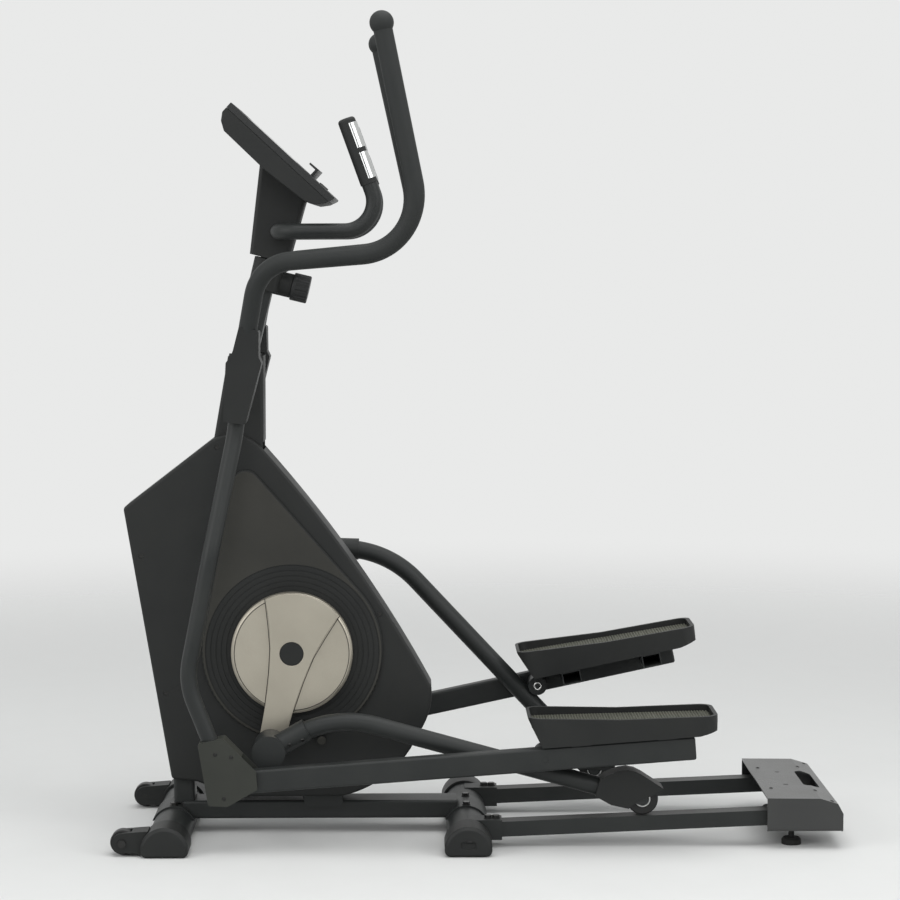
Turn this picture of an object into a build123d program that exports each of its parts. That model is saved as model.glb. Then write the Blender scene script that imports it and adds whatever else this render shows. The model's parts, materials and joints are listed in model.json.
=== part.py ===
"""Elliptical trainer. Millimetres, +Z up, +X to the rear, -Y on the user's left."""

import os
from math import atan2, cos, degrees, hypot, radians, sin, sqrt, tan

from build123d import *

# Stock sizes and fits
TUBE_RADIUS = 19.0
TUBE_WALL = 2.0
SHELL_WALL = 3.0
RUNNING_FIT = 0.05
PRESS_SEAT = 0.02
SEAT_FIT = 0.2
SIDE_GAP = 0.6
BOLT_RADIUS = 4.0
SCREW_RADIUS = 2.5
SCREW_HEAD = 5.0

# Crank: discs, arms and caps
CRANK_HEIGHT = 388.0
CRANK_RADIUS = 195.0
CRANK_LEAN = 13.0
DISC_RADIUS = 126.0
DISC_IN = 66.0
DISC_OUT = 92.0
ARM_OUT = 100.0
CAP_RADIUS = 24.5
CAP_DEEP = 6.0

# Roller arms and rollers
ARM_SHORT_LEG = 152.0
ARM_LONG_LEG = 655.0
ARM_BEND = 45.0
ARM_BEND_RADIUS = 215.0
PEDAL_PIVOT_ALONG = 219.0
PEDAL_PIVOT_UP = 35.0
ROLLER_RADIUS = 32.0
ROLLER_WIDTH = 30.0
ROLLER_LIFT = 1.2
BOSS_RADIUS = 34.0
BOSS_IN = 103.0
BOSS_OUT = 184.0
AXLE_PIN = 6.0
FORK_IN = 17.0
TUBE_STOP = -68.0

# Rails and rear end
RAIL_START = 392.0
RAIL_END = 1012.0
RAIL_TOP = 51.8
RAIL_SLOPE = 2.36
RAIL_WIDTH = 40.0
RAIL_HEIGHT = 31.0
RAIL_Y = 160.0
RAIL_BOLTS = (12.0, 28.0)
SOCKET_LENGTH = 40.0
SOCKET_WALL = 4.0
CROSS_DEPTH = 34.0
CROSS_HALF = 190.0
REAR_END = 1131.0
COVER_HALF = 206.0
COVER_FRONT = 972.0
COVER_LOW = 36.0
COVER_HIGH = 106.0
COVER_SCREW_Y = 64.0
GRIP_SLOT_X = 1083.0
FOOT_X = 1029.0
FOOT_Y = 150.0
FOOT_STUD = 6.0
FOOT_PAD = 20.0

# Swing arms, drawn about the swing axle
SWING_X = -96.0
SWING_Z = 985.0
SWING_RADIUS = 843.0
SWING_TOP_Y = 148.0
SWING_TUBE = 17.0
SWING_AXLE_RADIUS = 12.0
HUB_IN = 124.5
HUB_OUT = 171.5
HANDLE_Y = 296.0
BEAM_Y = 212.0
STUB_UP = (31.0, -198.0, 208.0)
HANDLE_CORNER = (366.0, -HANDLE_Y, 250.0)
HANDLE_END = (259.7, -HANDLE_Y, 680.4)
BALL_CENTRE = (258.2, -HANDLE_Y, 687.0)
BALL_RADIUS = 24.0
LOW_START = (0.0, -SWING_TOP_Y, -16.0)
LOW_KNEE = (-8.0, -SWING_TOP_Y, -140.0)
LOW_BOW = (-85.0, -BEAM_Y, 203.0 - SWING_RADIUS)
LOW_END = (-14.0, -BEAM_Y, 43.0 - SWING_RADIUS)
LOW_RUN = [LOW_START, LOW_KNEE, (-45.0, -BEAM_Y, -380.0), LOW_BOW, LOW_END]
LOW_BENDS = [150, 200, 150]
FORK = 5.0
LUG_HIGH = 71.0
PIN_RADIUS = 8.0

# Pedal beams and pedals, drawn about the beam's front pivot
BEAM_WIDTH = 30.0
BEAM_HEIGHT = 47.0
BEAM_PIVOT_SPAN = 651.0
BEAM_TAIL = 306.0
STUD_RADIUS = 7.0
STUB_SPOTS = (75.0, 250.0)
STUB_WIDE = 40.0
PEDAL_BOTTOM = 25.0
PEDAL_FRONT = 621.0
PEDAL_REAR = 1007.0
PEDAL_IN = 85.0
PEDAL_OUT = 235.0
PEDAL_RIM = 8.0
PEDAL_CORNER = 30.0
TRAY_FLOOR = 64.0
TRAY_FALL = 0.047
PAD_THICK = 5.0
PAD_RIBS = 24

# Frame, stabilisers and transport wheels
BASE_HALF = 38.0
BASE_LOW = 30.0
BASE_HIGH = 68.0
PLATE = 5.0
PLATE_FOOT = (25.0, 105.0)
HUB_REACH = 12.0
UPRIGHT_DEEP = 44.0
UPRIGHT_WIDE = 64.0
UPRIGHT_WALL = 2.5
FRONT_BAR_X = -250.0
MID_BAR_X = 362.0
BAR_WIDTH = 84.0
BAR_HEIGHT = 50.0
BAR_ROUNDING = 7.0
BAR_LIFT = 6.0
BAR_HALF = 236.0
SADDLE_WALL = 4.0
SADDLE_BOLT_Y = 43.0
CAP_END = 268.0
CAP_START = 190.0
WHEEL_X = -336.0
WHEEL_Y = 226.0
WHEEL_RADIUS = 25.0
WHEEL_WIDTH = 26.0
WHEEL_LIFT = 2.0
WHEEL_Z = WHEEL_RADIUS + WHEEL_LIFT

# Casing
CASING_HALF = 54.0
PANEL_HALF = 62.0
PANEL_RADIUS = 188.0
CRANK_HOLE = 34.0
RING_GROOVES = (136, 147, 158, 169, 180)
CASING_SCREWS = ((-154, 812), (-313, 586), (182, 464), (-264, 299), (150, 128))

# Mast, tension unit and console
MAST_LEAN = 13.5
MAST_TOP = 1234.0
BOOT_HALF = 46.0
KNOB_Z = 1157.0
KNOB_SHAFT = 6.0
KNOB_LENGTH = 36.0
KNOB_RADIUS = 29.0
KNOB_FLUTES = 14
HOUSING_END = 56.0
NECK_HALF = 44.0
NECK_FOOT = ((-84.9, 1211.0), (-6.0, 1191.0))
NECK_HEAD = ((-62.0, 1405.0), (32.6, 1325.0))
CONSOLE_X = -10.0
CONSOLE_Z = 1419.0
CONSOLE_TILT = 42.7
CONSOLE_HALF = 152.0
CONSOLE_REACH = 141.0
FRAME_DEPTH = 14.0
LEDGE_HALF = 105.0
LENS_X = -36.0
LENS_LONG = 130.0
LENS_WIDE = 210.0
KEY_X = 104.0
KEY_RADIUS = 9.0
KEY_PITCH = 46.0

# Fixed handlebar
PULSE_X = -23.0
PULSE_Z = 1256.0
PULSE_Y = 136.0
PULSE_RADIUS = 16.0
PULSE_CORNER = (198.0, 1257.0)
PULSE_END = (116.0, 1483.0)
PULSE_BENDS = [60, 45, 45, 60]
GRIP_FROM = 0.42
GRIP_RADIUS = 18.0
PLATE_SPANS = ((0.46, 0.69), (0.73, 0.95))

# Drive inside the casing
AXLE_RADIUS = 10.0
BEARING_RADIUS = 21.0
PULLEY_RADIUS = 140.0
PULLEY_IN = 8.0
PULLEY_OUT = 26.0
SMALL_PULLEY_RADIUS = 19.0
BELT = 3.0
BELT_PLAY = 0.4
FLYWHEEL_X = -45.0
FLYWHEEL_Z = 590.0
FLYWHEEL_RADIUS = 112.0
FLYWHEEL_SHAFT = 6.0
MAGNET_X = -122.0
MAGNET_Z = 702.0
MAGNET_SHAFT = 5.0
MAGNET_GAP = 16.0

# The row frame has its origin on the floor at the middle of the footprint
FRONT_END = WHEEL_X - WHEEL_RADIUS
MIDDLE_X = (FRONT_END + REAR_END) / 2


def turned(point, angle):
    """A point of the X-Z plane turned from +X toward +Z about the origin."""
    c, s = cos(radians(angle)), sin(radians(angle))
    return point[0] * c - point[1] * s, point[0] * s + point[1] * c


def added(a, b):
    return a[0] + b[0], a[1] + b[1]


def heading(a, b):
    return degrees(atan2(b[1] - a[1], b[0] - a[0]))


def rail_height(x):
    return RAIL_TOP + tan(radians(RAIL_SLOPE)) * (x - RAIL_START)


def roller_centre(pin):
    """Where the roller stands on its rail when the crank pin is at this point."""
    slope = tan(radians(RAIL_SLOPE))
    level = rail_height(0) + (ROLLER_RADIUS + ROLLER_LIFT) / cos(radians(RAIL_SLOPE))
    a = 1 + slope**2
    b = 2 * (slope * (level - pin[1]) - pin[0])
    c = pin[0] ** 2 + (level - pin[1]) ** 2 - hypot(*ARM_PIN) ** 2
    x = (-b + sqrt(b * b - 4 * a * c)) / (2 * a)
    return x, slope * x + level


def swing_end(pivot):
    """Where the pedal beam meets the swing arm when the pedal pivot is at this point."""
    dx, dz = pivot[0] - SWING_X, pivot[1] - SWING_Z
    span = hypot(dx, dz)
    along = (SWING_RADIUS**2 - BEAM_PIVOT_SPAN**2 + span**2) / (2 * span)
    aside = sqrt(SWING_RADIUS**2 - along**2)
    return SWING_X + (along * dx + aside * dz) / span, SWING_Z + (along * dz - aside * dx) / span


def rest_pose(crank_angle):
    """Places and angles of one side's links for a crank this far forward of straight down."""
    pin = added((0, CRANK_HEIGHT), turned((0, -CRANK_RADIUS), -crank_angle))
    roller = roller_centre(pin)
    arm = heading(roller, pin) - heading((0, 0), ARM_PIN)
    pedal = added(roller, turned(ARM_PEDAL, arm))
    front = swing_end(pedal)
    swing = heading((SWING_X, SWING_Z), front) + 90
    return {
        "pin": pin,
        "roller": roller,
        "arm": arm,
        "pedal": pedal,
        "front": front,
        "beam": heading(front, pedal),
        "swing": swing,
    }


ARM_CORNER = (-ARM_LONG_LEG, 0.0)
ARM_PIN = added(ARM_CORNER, turned((-ARM_SHORT_LEG, 0.0), ARM_BEND))
ARM_PEDAL = (-PEDAL_PIVOT_ALONG, PEDAL_PIVOT_UP)
REST = {"left": rest_pose(CRANK_LEAN), "right": rest_pose(CRANK_LEAN + 180)}


def mast_x(z):
    return SWING_X + tan(radians(MAST_LEAN)) * (z - SWING_Z)


def slab(face, y_from, y_to):
    """A plate with an outline drawn in X and Z."""
    return extrude(Plane.XZ.offset(-y_to) * face, amount=y_to - y_from)


def rod(x, z, radius, y_from, y_to):
    return slab(Pos(x, z) * Circle(radius), y_from, y_to)


def block(x_from, x_to, y_from, y_to, z_from, z_to):
    size = (x_to - x_from, y_to - y_from, z_to - z_from)
    centre = ((x_from + x_to) / 2, (y_from + y_to) / 2, (z_from + z_to) / 2)
    return Pos(*centre) * Box(*size)


def outline(*points, rounding=0.0):
    face = make_face(Polyline(*points, close=True))
    return fillet(face.vertices(), rounding) if rounding else face


def bar(start, end, radius):
    """A straight round bar between two points of space."""
    path = Line(start, end)
    return sweep((path ^ 0) * Circle(radius), path=path)


def bent_bar(points, bends, radius):
    path = FilletPolyline(*points, radius=bends)
    return sweep((path ^ 0) * Circle(radius), path=path)


def bent_tube(points, bends, radius, wall):
    return bent_bar(points, bends, radius) - bent_bar(points, bends, radius - wall)


def both_sides(shape):
    return [shape, mirror(shape, about=Plane.XZ)]


def placed(shape, spot, angle, side):
    """A link drawn for the left side about its own pivot, put in its place at rest."""
    if side == "right":
        shape = mirror(shape, about=Plane.XZ)
    return Pos(spot[0], 0, spot[1]) * Rot(0, -angle, 0) * shape


def bar_face(grow=0.0):
    """End shape of the stabiliser tubes: flat below and domed above."""
    half = BAR_WIDTH / 2 + grow
    high = BAR_HEIGHT + grow
    shoulder = BAR_HEIGHT * 0.36
    edges = Polyline((-half, shoulder), (-half, -grow), (half, -grow), (half, shoulder))
    dome = ThreePointArc((half, shoulder), (0, high), (-half, shoulder))
    face = make_face(edges + dome)
    return fillet(face.vertices(), BAR_ROUNDING + grow)


def bar_solid(x, y_from, y_to, grow=0.0):
    return Pos(x, 0, BAR_LIFT) * slab(bar_face(grow), y_from, y_to)


# Main frame: base beam, saddles over both stabilisers, kinked upright and two drive plates
def upright_run(grow):
    """The inside or outside of the upright, from the base up to the swing axle."""
    top = SWING_Z + 18
    knee_z = 405.0
    foot = (-229.0, 0, BASE_HIGH - 4)
    knee = (mast_x(knee_z), 0, knee_z)
    path = Polyline(foot, knee, (mast_x(top), 0, top))
    start = Plane(origin=foot, x_dir=(0, 1, 0), z_dir=path % 0)
    section = RectangleRounded(UPRIGHT_WIDE + 2 * grow, UPRIGHT_DEEP + 2 * grow, 8 + grow)
    return sweep(start * section, path=path, transition=Transition.RIGHT)


def drive_plate():
    """Side plate that carries a crank bearing, the flywheel shaft and the magnet pivot."""
    low = BASE_HIGH - 12
    spine = mast_x(FLYWHEEL_Z + 40)
    points = [(PLATE_FOOT[0], low), (PLATE_FOOT[1], low), (50, CRANK_HEIGHT)]
    points += [(0, FLYWHEEL_Z), (-20, FLYWHEEL_Z + 40)]
    points += [(MAGNET_X + 22, MAGNET_Z + 20), (MAGNET_X - 14, MAGNET_Z + 20)]
    points += [(spine - 12, FLYWHEEL_Z + 30), (spine - 12, FLYWHEEL_Z - 20), (-60, CRANK_HEIGHT)]
    return slab(outline(*points, rounding=8), -BASE_HALF - PLATE, -BASE_HALF)


def main_frame():
    beam = block(FRONT_BAR_X + 20, MID_BAR_X - 20, -BASE_HALF, BASE_HALF, BASE_LOW, BASE_HIGH)
    beam = fillet(beam.edges().filter_by(Axis.X), 6)
    hollow = block(
        FRONT_BAR_X + 20, MID_BAR_X - 20,
        TUBE_WALL - BASE_HALF, BASE_HALF - TUBE_WALL, BASE_LOW + TUBE_WALL, BASE_HIGH - TUBE_WALL,
    )
    frame = beam - hollow
    saddle_half = SADDLE_BOLT_Y + 11
    for x in (FRONT_BAR_X, MID_BAR_X):
        frame += bar_solid(x, -saddle_half, saddle_half, SADDLE_WALL) - block(
            x - BAR_WIDTH, x + BAR_WIDTH, -saddle_half, saddle_half, 0, BASE_LOW
        )
    frame += upright_run(0) - upright_run(-UPRIGHT_WALL)
    for plate in both_sides(drive_plate()):
        frame += plate
    hub_out = BASE_HALF + HUB_REACH
    for hub in both_sides(rod(0, CRANK_HEIGHT, BEARING_RADIUS + 9, -hub_out, -BASE_HALF)):
        frame += hub
    for z in (FLYWHEEL_Z, FLYWHEEL_Z + 32):
        frame += rod(mast_x(z), z, 8, -BASE_HALF - 1, BASE_HALF + 1)
    for x in (FRONT_BAR_X, MID_BAR_X):
        frame -= bar_solid(x, -BAR_HALF, BAR_HALF, SEAT_FIT)
    frame -= rod(0, CRANK_HEIGHT, BEARING_RADIUS + PRESS_SEAT, -hub_out - 1, hub_out + 1)
    frame -= rod(FLYWHEEL_X, FLYWHEEL_Z, FLYWHEEL_SHAFT + RUNNING_FIT, -60, 60)
    frame -= rod(MAGNET_X, MAGNET_Z, MAGNET_SHAFT + RUNNING_FIT, -60, 60)
    frame -= rod(SWING_X, SWING_Z, SWING_AXLE_RADIUS + SEAT_FIT, -60, 60)
    for x in (FRONT_BAR_X, MID_BAR_X):
        for y in (-SADDLE_BOLT_Y, SADDLE_BOLT_Y):
            frame -= Pos(x, y, BAR_HEIGHT) * Cylinder(BOLT_RADIUS + SEAT_FIT, 60)
    return frame


# Stabilisers: domed tubes across the floor, the middle one with sockets for the rails
def stabiliser(x):
    tube = bar_solid(x, -BAR_HALF, BAR_HALF) - bar_solid(x, -BAR_HALF, BAR_HALF, -TUBE_WALL)
    for y in (-SADDLE_BOLT_Y, SADDLE_BOLT_Y):
        tube -= Pos(x, y, BAR_HEIGHT) * Cylinder(BOLT_RADIUS, 60)
    return tube


def mid_stabiliser():
    tube = stabiliser(MID_BAR_X)
    fit_half = RAIL_WIDTH / 2 + SEAT_FIT
    half = RAIL_WIDTH / 2 + SOCKET_WALL
    low = RAIL_TOP - RAIL_HEIGHT - SOCKET_WALL
    for y in (-RAIL_Y, RAIL_Y):
        socket = block(MID_BAR_X, RAIL_START + SOCKET_LENGTH, y - half, y + half, low, RAIL_TOP + 6)
        tube += socket - bar_solid(MID_BAR_X, -BAR_HALF, BAR_HALF, -TUBE_WALL)
        tube -= slab(rail_face(SEAT_FIT, 0), y - fit_half, y + fit_half)
        for along in RAIL_BOLTS:
            tube -= Pos(RAIL_START + along, y, RAIL_TOP) * Cylinder(BOLT_RADIUS, 60)
    return tube


def end_cap(x):
    """Plastic cap over a stabiliser's left end, standing on the floor."""
    cap = bar_solid(x, -CAP_END, -CAP_START, BAR_LIFT)
    cap = chamfer(cap.faces().sort_by(Axis.Y)[0].edges(), 6)
    return cap - bar_solid(x, -BAR_HALF - 1, 1 - CAP_START, SEAT_FIT)


def front_cap():
    """Front cap with the fork that holds a transport wheel ahead of the stabiliser."""
    cap = end_cap(FRONT_BAR_X)
    reach = FRONT_BAR_X - BAR_WIDTH / 2 + 8
    fork = outline((reach, 52), (WHEEL_X, WHEEL_Z + 21), (WHEEL_X, WHEEL_Z - 19), (reach, 5))
    fork += Pos(WHEEL_X, WHEEL_Z) * Circle(20.5)
    housing = slab(fork, -WHEEL_Y - 24, -WHEEL_Y + 24)
    pocket_in = -WHEEL_Y + WHEEL_WIDTH / 2 + SIDE_GAP
    pocket_out = -WHEEL_Y - WHEEL_WIDTH / 2 - SIDE_GAP
    housing -= rod(WHEEL_X, WHEEL_Z, WHEEL_RADIUS + 4, pocket_out, pocket_in)
    housing -= block(FRONT_END - 9, WHEEL_X, pocket_out, pocket_in, 0, 70)
    housing -= bar_solid(FRONT_BAR_X, -CAP_END, -CAP_START, SEAT_FIT)
    return cap + housing - rod(WHEEL_X, WHEEL_Z, BOLT_RADIUS, -CAP_END, -CAP_START)


def transport_wheel():
    half = WHEEL_WIDTH / 2
    wheel = rod(WHEEL_X, WHEEL_Z, WHEEL_RADIUS, -WHEEL_Y - half, -WHEEL_Y + half)
    wheel = fillet(wheel.edges().filter_by(GeomType.CIRCLE), 3)
    return wheel - rod(WHEEL_X, WHEEL_Z, BOLT_RADIUS + RUNNING_FIT, -CAP_END, -CAP_START)


# Mid caps carry a shallow oblong dish in their outer face
def mid_cap():
    dish = Pos(MID_BAR_X, 24) * RectangleRounded(30, 14, 4)
    return end_cap(MID_BAR_X) - slab(dish, -CAP_END - 1, -CAP_END + 3)


# Rails: two inclined tubes from the middle stabiliser to the rear cross tube
def rail_face(grow, wall):
    low = RAIL_HEIGHT - wall
    front = RAIL_START - (SEAT_FIT if grow else 0)
    a = rail_height(front) + grow
    b = rail_height(RAIL_END) + grow
    drop = low + grow
    top = (front, a - wall), (RAIL_END, b - wall)
    return outline(*top, (RAIL_END, b - drop - grow), (front, a - drop - grow))


def rail(y):
    half = RAIL_WIDTH / 2
    tube = slab(rail_face(0, 0), y - half, y + half)
    tube -= slab(rail_face(0, TUBE_WALL), y - half + TUBE_WALL, y + half - TUBE_WALL)
    for along in RAIL_BOLTS:
        tube -= Pos(RAIL_START + along, y, RAIL_TOP) * Cylinder(BOLT_RADIUS, 60)
    return tube


# Rear end: cross tube, plastic cover with a grip slot, two levelling feet


def rear_cross_tube():
    top = rail_height(RAIL_END)
    tube = block(RAIL_END, RAIL_END + CROSS_DEPTH, -CROSS_HALF, CROSS_HALF, top - RAIL_HEIGHT, top)
    inner = block(
        RAIL_END + TUBE_WALL, RAIL_END + CROSS_DEPTH - TUBE_WALL,
        -CROSS_HALF, CROSS_HALF, top - RAIL_HEIGHT + TUBE_WALL, top - TUBE_WALL,
    )
    tube -= inner
    middle = top - RAIL_HEIGHT / 2
    for y in (-FOOT_Y, FOOT_Y):
        tube += Pos(FOOT_X, y, middle) * Cylinder(FOOT_STUD + 4, RAIL_HEIGHT - 1)
        tube -= Pos(FOOT_X, y, middle) * Cylinder(FOOT_STUD + RUNNING_FIT, RAIL_HEIGHT + 20)
    return tube


def cover_run(inset):
    half = COVER_HALF - inset
    edge = REAR_END - inset
    front = COVER_FRONT - inset
    high = COVER_HIGH - inset
    low = COVER_LOW - inset
    brow = (edge - 51, high - 1), (edge - 15, high - 12), (edge, 66)
    side = outline((front, high), *brow, (edge, low), (front, low))
    corner = edge - 4
    sides = Polyline((corner, half), (COVER_FRONT - 10, half), (COVER_FRONT - 10, -half), (corner, -half))
    plan = make_face(sides + ThreePointArc((corner, -half), (edge, 0), (corner, half)))
    return slab(side, -half, half) & extrude(plan, amount=2 * COVER_HIGH)


def rear_cover():
    shell = cover_run(0)
    shell = fillet(shell.edges().filter_by(Axis.X).group_by(Axis.Z)[-1], 8) - cover_run(SHELL_WALL)
    top = rail_height(RAIL_END)
    post_high = COVER_HIGH - 2 - top
    for y in (-COVER_SCREW_Y, COVER_SCREW_Y):
        shell += Pos(FOOT_X, y, top + post_high / 2 + SEAT_FIT) * Cylinder(9, post_high)
        shell -= Pos(FOOT_X, y, COVER_HIGH) * Cylinder(SCREW_RADIUS, 60)
        shell -= Pos(FOOT_X, y, COVER_HIGH) * Cylinder(SCREW_HEAD + SEAT_FIT, 6)
    grip = Pos(GRIP_SLOT_X, 0, COVER_HIGH) * extrude(RectangleRounded(34, 150, 14), amount=60, both=True)
    return shell - grip


def levelling_foot():
    pad = Pos(FOOT_X, -FOOT_Y, 0) * extrude(Circle(FOOT_PAD), amount=14)
    pad = chamfer(pad.edges().group_by(Axis.Z)[-1], 4)
    stud = Pos(FOOT_X, -FOOT_Y, 13) * extrude(Circle(FOOT_STUD), amount=66)
    return pad + stud


# Casing: two shells that meet in the middle, each with a raised ringed panel
def casing_face():
    nose = Polyline((-253, 117), (-349, 686), (-166, 827))
    crown = ThreePointArc((-166, 827), (-118, 839), (-61, 810))
    back = ThreePointArc((-61, 810), (110, 596), (289, 310))
    tail = ThreePointArc((289, 310), (285, 262), (262, 212))
    heel = ThreePointArc((262, 212), (200, 128), (100, 80))
    sole = Polyline((100, 80), (-120, 80), (-200, 112), (-253, 117))
    return make_face(nose + crown + back + tail + heel + sole)


def panel_face(grow=0.0):
    low = Pos(0, CRANK_HEIGHT) * Circle(PANEL_RADIUS + grow)
    high = Pos(-95, 735) * Circle(30 + grow)
    return make_hull(low.edges() + high.edges())


def casing():
    """Left shell, with the raised panel and the ring grooves round the crank disc."""
    face = casing_face()
    shell = slab(fillet(face.vertices(), 10), -CASING_HALF, -SEAT_FIT)
    shell = fillet(shell.faces().sort_by(Axis.Y)[0].edges(), 6)
    panel = slab(panel_face(), -PANEL_HALF, 1 - CASING_HALF)
    shell += chamfer(panel.faces().sort_by(Axis.Y)[0].edges(), 3)
    shell -= slab(offset(face, -SHELL_WALL), SHELL_WALL - CASING_HALF, 1)
    shell -= slab(panel_face(-SHELL_WALL - 3), SHELL_WALL - PANEL_HALF, 2 * SHELL_WALL - CASING_HALF)
    for radius in RING_GROOVES:
        groove = Circle(radius + 1.2) - Circle(radius - 1.2)
        shell -= slab(Pos(0, CRANK_HEIGHT) * groove, -PANEL_HALF - 1, 1.2 - PANEL_HALF)
    plate_out = BASE_HALF + PLATE + SEAT_FIT
    for x, z in ((5, 200), (60, 200), (-150, 640)):
        shell += rod(x, z, 9, 1 - PANEL_HALF, -plate_out)
    for x, z in CASING_SCREWS:
        shell += rod(x, z, 8, 1 - CASING_HALF, -SEAT_FIT)
        shell -= rod(x, z, 5, -CASING_HALF - 1, -CASING_HALF + 5)
    shell -= rod(0, CRANK_HEIGHT, CRANK_HOLE, -PANEL_HALF - 1, 0)
    shell -= boot_run(SEAT_FIT)
    shell -= upright_run(1.0)
    return shell - block(PLATE_FOOT[0] - 14, PLATE_FOOT[1] + 2, -BASE_HALF - PLATE - 2, 1, 60, 95)


# Mast boot, mast, tension housing and knob
def boot_run(grow):
    points = ((-163, 818), (-130, 1006), (-58, 1006), (-58, 790))
    face = offset(outline(*points), grow) if grow else outline(*points)
    return slab(face, -BOOT_HALF - grow, BOOT_HALF + grow)


def mast_boot():
    shell = fillet(boot_run(0).edges().filter_by(Axis.Z, tolerance=20), 8)
    inner = BOOT_HALF - SHELL_WALL
    shell -= boot_run(-SHELL_WALL)
    shell -= block(-200, 0, -inner, inner, 1000, 1010)
    shell -= block(-200, 0, -inner, inner, 700, 822)
    return shell - rod(SWING_X, SWING_Z, SWING_AXLE_RADIUS + 1, -60, 60)


def mast_run(grow, z_from, z_to):
    path = Line((mast_x(z_from), 0, z_from), (mast_x(z_to), 0, z_to))
    play = 2 * (grow - SEAT_FIT - UPRIGHT_WALL)
    section = RectangleRounded(UPRIGHT_WIDE + play, UPRIGHT_DEEP + play, 6 + grow)
    start = Plane(origin=path @ 0, x_dir=(0, 1, 0), z_dir=path % 0)
    return sweep(start * section, path=path)


def mast():
    low = SWING_Z - 95
    tube = mast_run(0, low, MAST_TOP) - mast_run(-TUBE_WALL, low - 1, MAST_TOP + 1)
    tube -= rod(SWING_X, SWING_Z, SWING_AXLE_RADIUS + SEAT_FIT, -60, 60)
    return tube - knob_bar(0, KNOB_SHAFT + 1, 40)


def knob_point(along):
    out = turned((along, 0), -MAST_LEAN)
    return mast_x(KNOB_Z) + out[0], 0, KNOB_Z + out[1]


def knob_bar(along_from, radius, along_to):
    return bar(knob_point(along_from), knob_point(along_to), radius)


def tension_housing():
    collar = mast_run(12, KNOB_Z - 20, KNOB_Z + 42)
    body = collar + knob_bar(0, 25, HOUSING_END)
    body -= mast_run(SEAT_FIT, KNOB_Z - 60, KNOB_Z + 80)
    return body - knob_bar(0, KNOB_SHAFT + RUNNING_FIT, HOUSING_END + 5)


def tension_knob():
    start = HOUSING_END + SIDE_GAP
    knob = knob_bar(start, KNOB_RADIUS, start + KNOB_LENGTH)
    knob = fillet(knob.edges().filter_by(GeomType.CIRCLE), 3)
    frame = Plane(origin=knob_point(start), z_dir=Vector(*knob_point(1)) - Vector(*knob_point(0)))
    for spot in PolarLocations(KNOB_RADIUS + 1.6, KNOB_FLUTES):
        knob -= frame * spot * Pos(0, 0, 8) * extrude(Circle(3.6), amount=KNOB_LENGTH)
    return knob + knob_bar(24, KNOB_SHAFT, start + 1)


# Console neck and console
CONSOLE = Plane(
    origin=(CONSOLE_X, 0, CONSOLE_Z),
    x_dir=(cos(radians(CONSOLE_TILT)), 0, -sin(radians(CONSOLE_TILT))),
    z_dir=(sin(radians(CONSOLE_TILT)), 0, cos(radians(CONSOLE_TILT))),
)
CONSOLE_SIDE = Plane(origin=CONSOLE.origin, x_dir=CONSOLE.x_dir, z_dir=(0, -1, 0))


def console_run(inset):
    reach = CONSOLE_REACH
    under = ((-reach, -26), (-reach + 10, -41), (-113, -52), (-9, -54), (101, -46), (122, -36), (135, -20))
    face = outline((-reach, 0), *under, (reach, -5), (reach, 0), rounding=2.4)
    face = offset(face, -inset) if inset else face
    half = CONSOLE_HALF - inset
    return extrude(CONSOLE_SIDE.offset(-half) * face, amount=2 * half)


def console_slice(low, high):
    """A block that takes the console between two depths below its face."""
    return CONSOLE * Pos(0, 0, (low + high) / 2) * Box(600, 600, high - low)


def console_back():
    return (console_run(0) - console_run(SHELL_WALL)) - console_slice(-FRAME_DEPTH, 60)


def console_ledge():
    """Narrow L-shaped ledge across the console's face for a book or tablet."""
    face = outline((72, -1), (72, 15), (55, 15), (55, 19), (78, 20), (78, -1))
    return extrude(CONSOLE_SIDE.offset(-LEDGE_HALF) * face, amount=2 * LEDGE_HALF)


def console_frame():
    body = console_run(0) - console_slice(-80, SEAT_FIT - FRAME_DEPTH)
    body -= console_run(SHELL_WALL) - console_slice(-SHELL_WALL, 60)
    body -= CONSOLE * Pos(LENS_X, 0, 0) * Box(LENS_LONG - 12, LENS_WIDE - 12, 30)
    body -= CONSOLE * Pos(LENS_X, 0, 0) * Box(LENS_LONG, LENS_WIDE, 4)
    for y in (-KEY_PITCH, KEY_PITCH):
        body -= CONSOLE * Pos(KEY_X, y, 0) * Cylinder(KEY_RADIUS + 0.3, 30)
    return body + console_ledge()


def display_lens():
    return CONSOLE * Pos(LENS_X, 0, -1) * Box(LENS_LONG - 2 * SEAT_FIT, LENS_WIDE - 2 * SEAT_FIT, 2)


def console_key(y):
    head = CONSOLE * Pos(KEY_X, y, -3) * Cylinder(KEY_RADIUS, 12)
    flange = CONSOLE * Pos(KEY_X, y, -7) * Cylinder(KEY_RADIUS + 2, 3)
    return head + flange


def console_neck():
    points = (NECK_FOOT[0], *NECK_HEAD, NECK_FOOT[1])
    shell = slab(outline(*points), -NECK_HALF, NECK_HALF)
    shell = fillet(shell.edges().filter_by(Axis.Z, tolerance=25), 9)
    inner = NECK_HALF - SHELL_WALL
    shell -= slab(offset(outline(*points), -SHELL_WALL), -inner, inner)
    shell -= mast_run(SEAT_FIT, NECK_FOOT[1][1] - 40, MAST_TOP + 2)
    shell -= rod(PULSE_X, PULSE_Z, PULSE_RADIUS + SEAT_FIT, -60, 60)
    return shell - console_run(-SEAT_FIT)


# Fixed handlebar with pulse grips


def pulse_point(part, y=-PULSE_Y):
    a, b = PULSE_CORNER, PULSE_END
    return a[0] + part * (b[0] - a[0]), y, a[1] + part * (b[1] - a[1])


def pulse_handlebar():
    points = [pulse_point(0.96), pulse_point(0), (PULSE_X, -PULSE_Y, PULSE_Z)]
    points += [(x, -y, z) for x, y, z in reversed(points)]
    return bent_tube(points, PULSE_BENDS, PULSE_RADIUS, TUBE_WALL)


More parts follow.
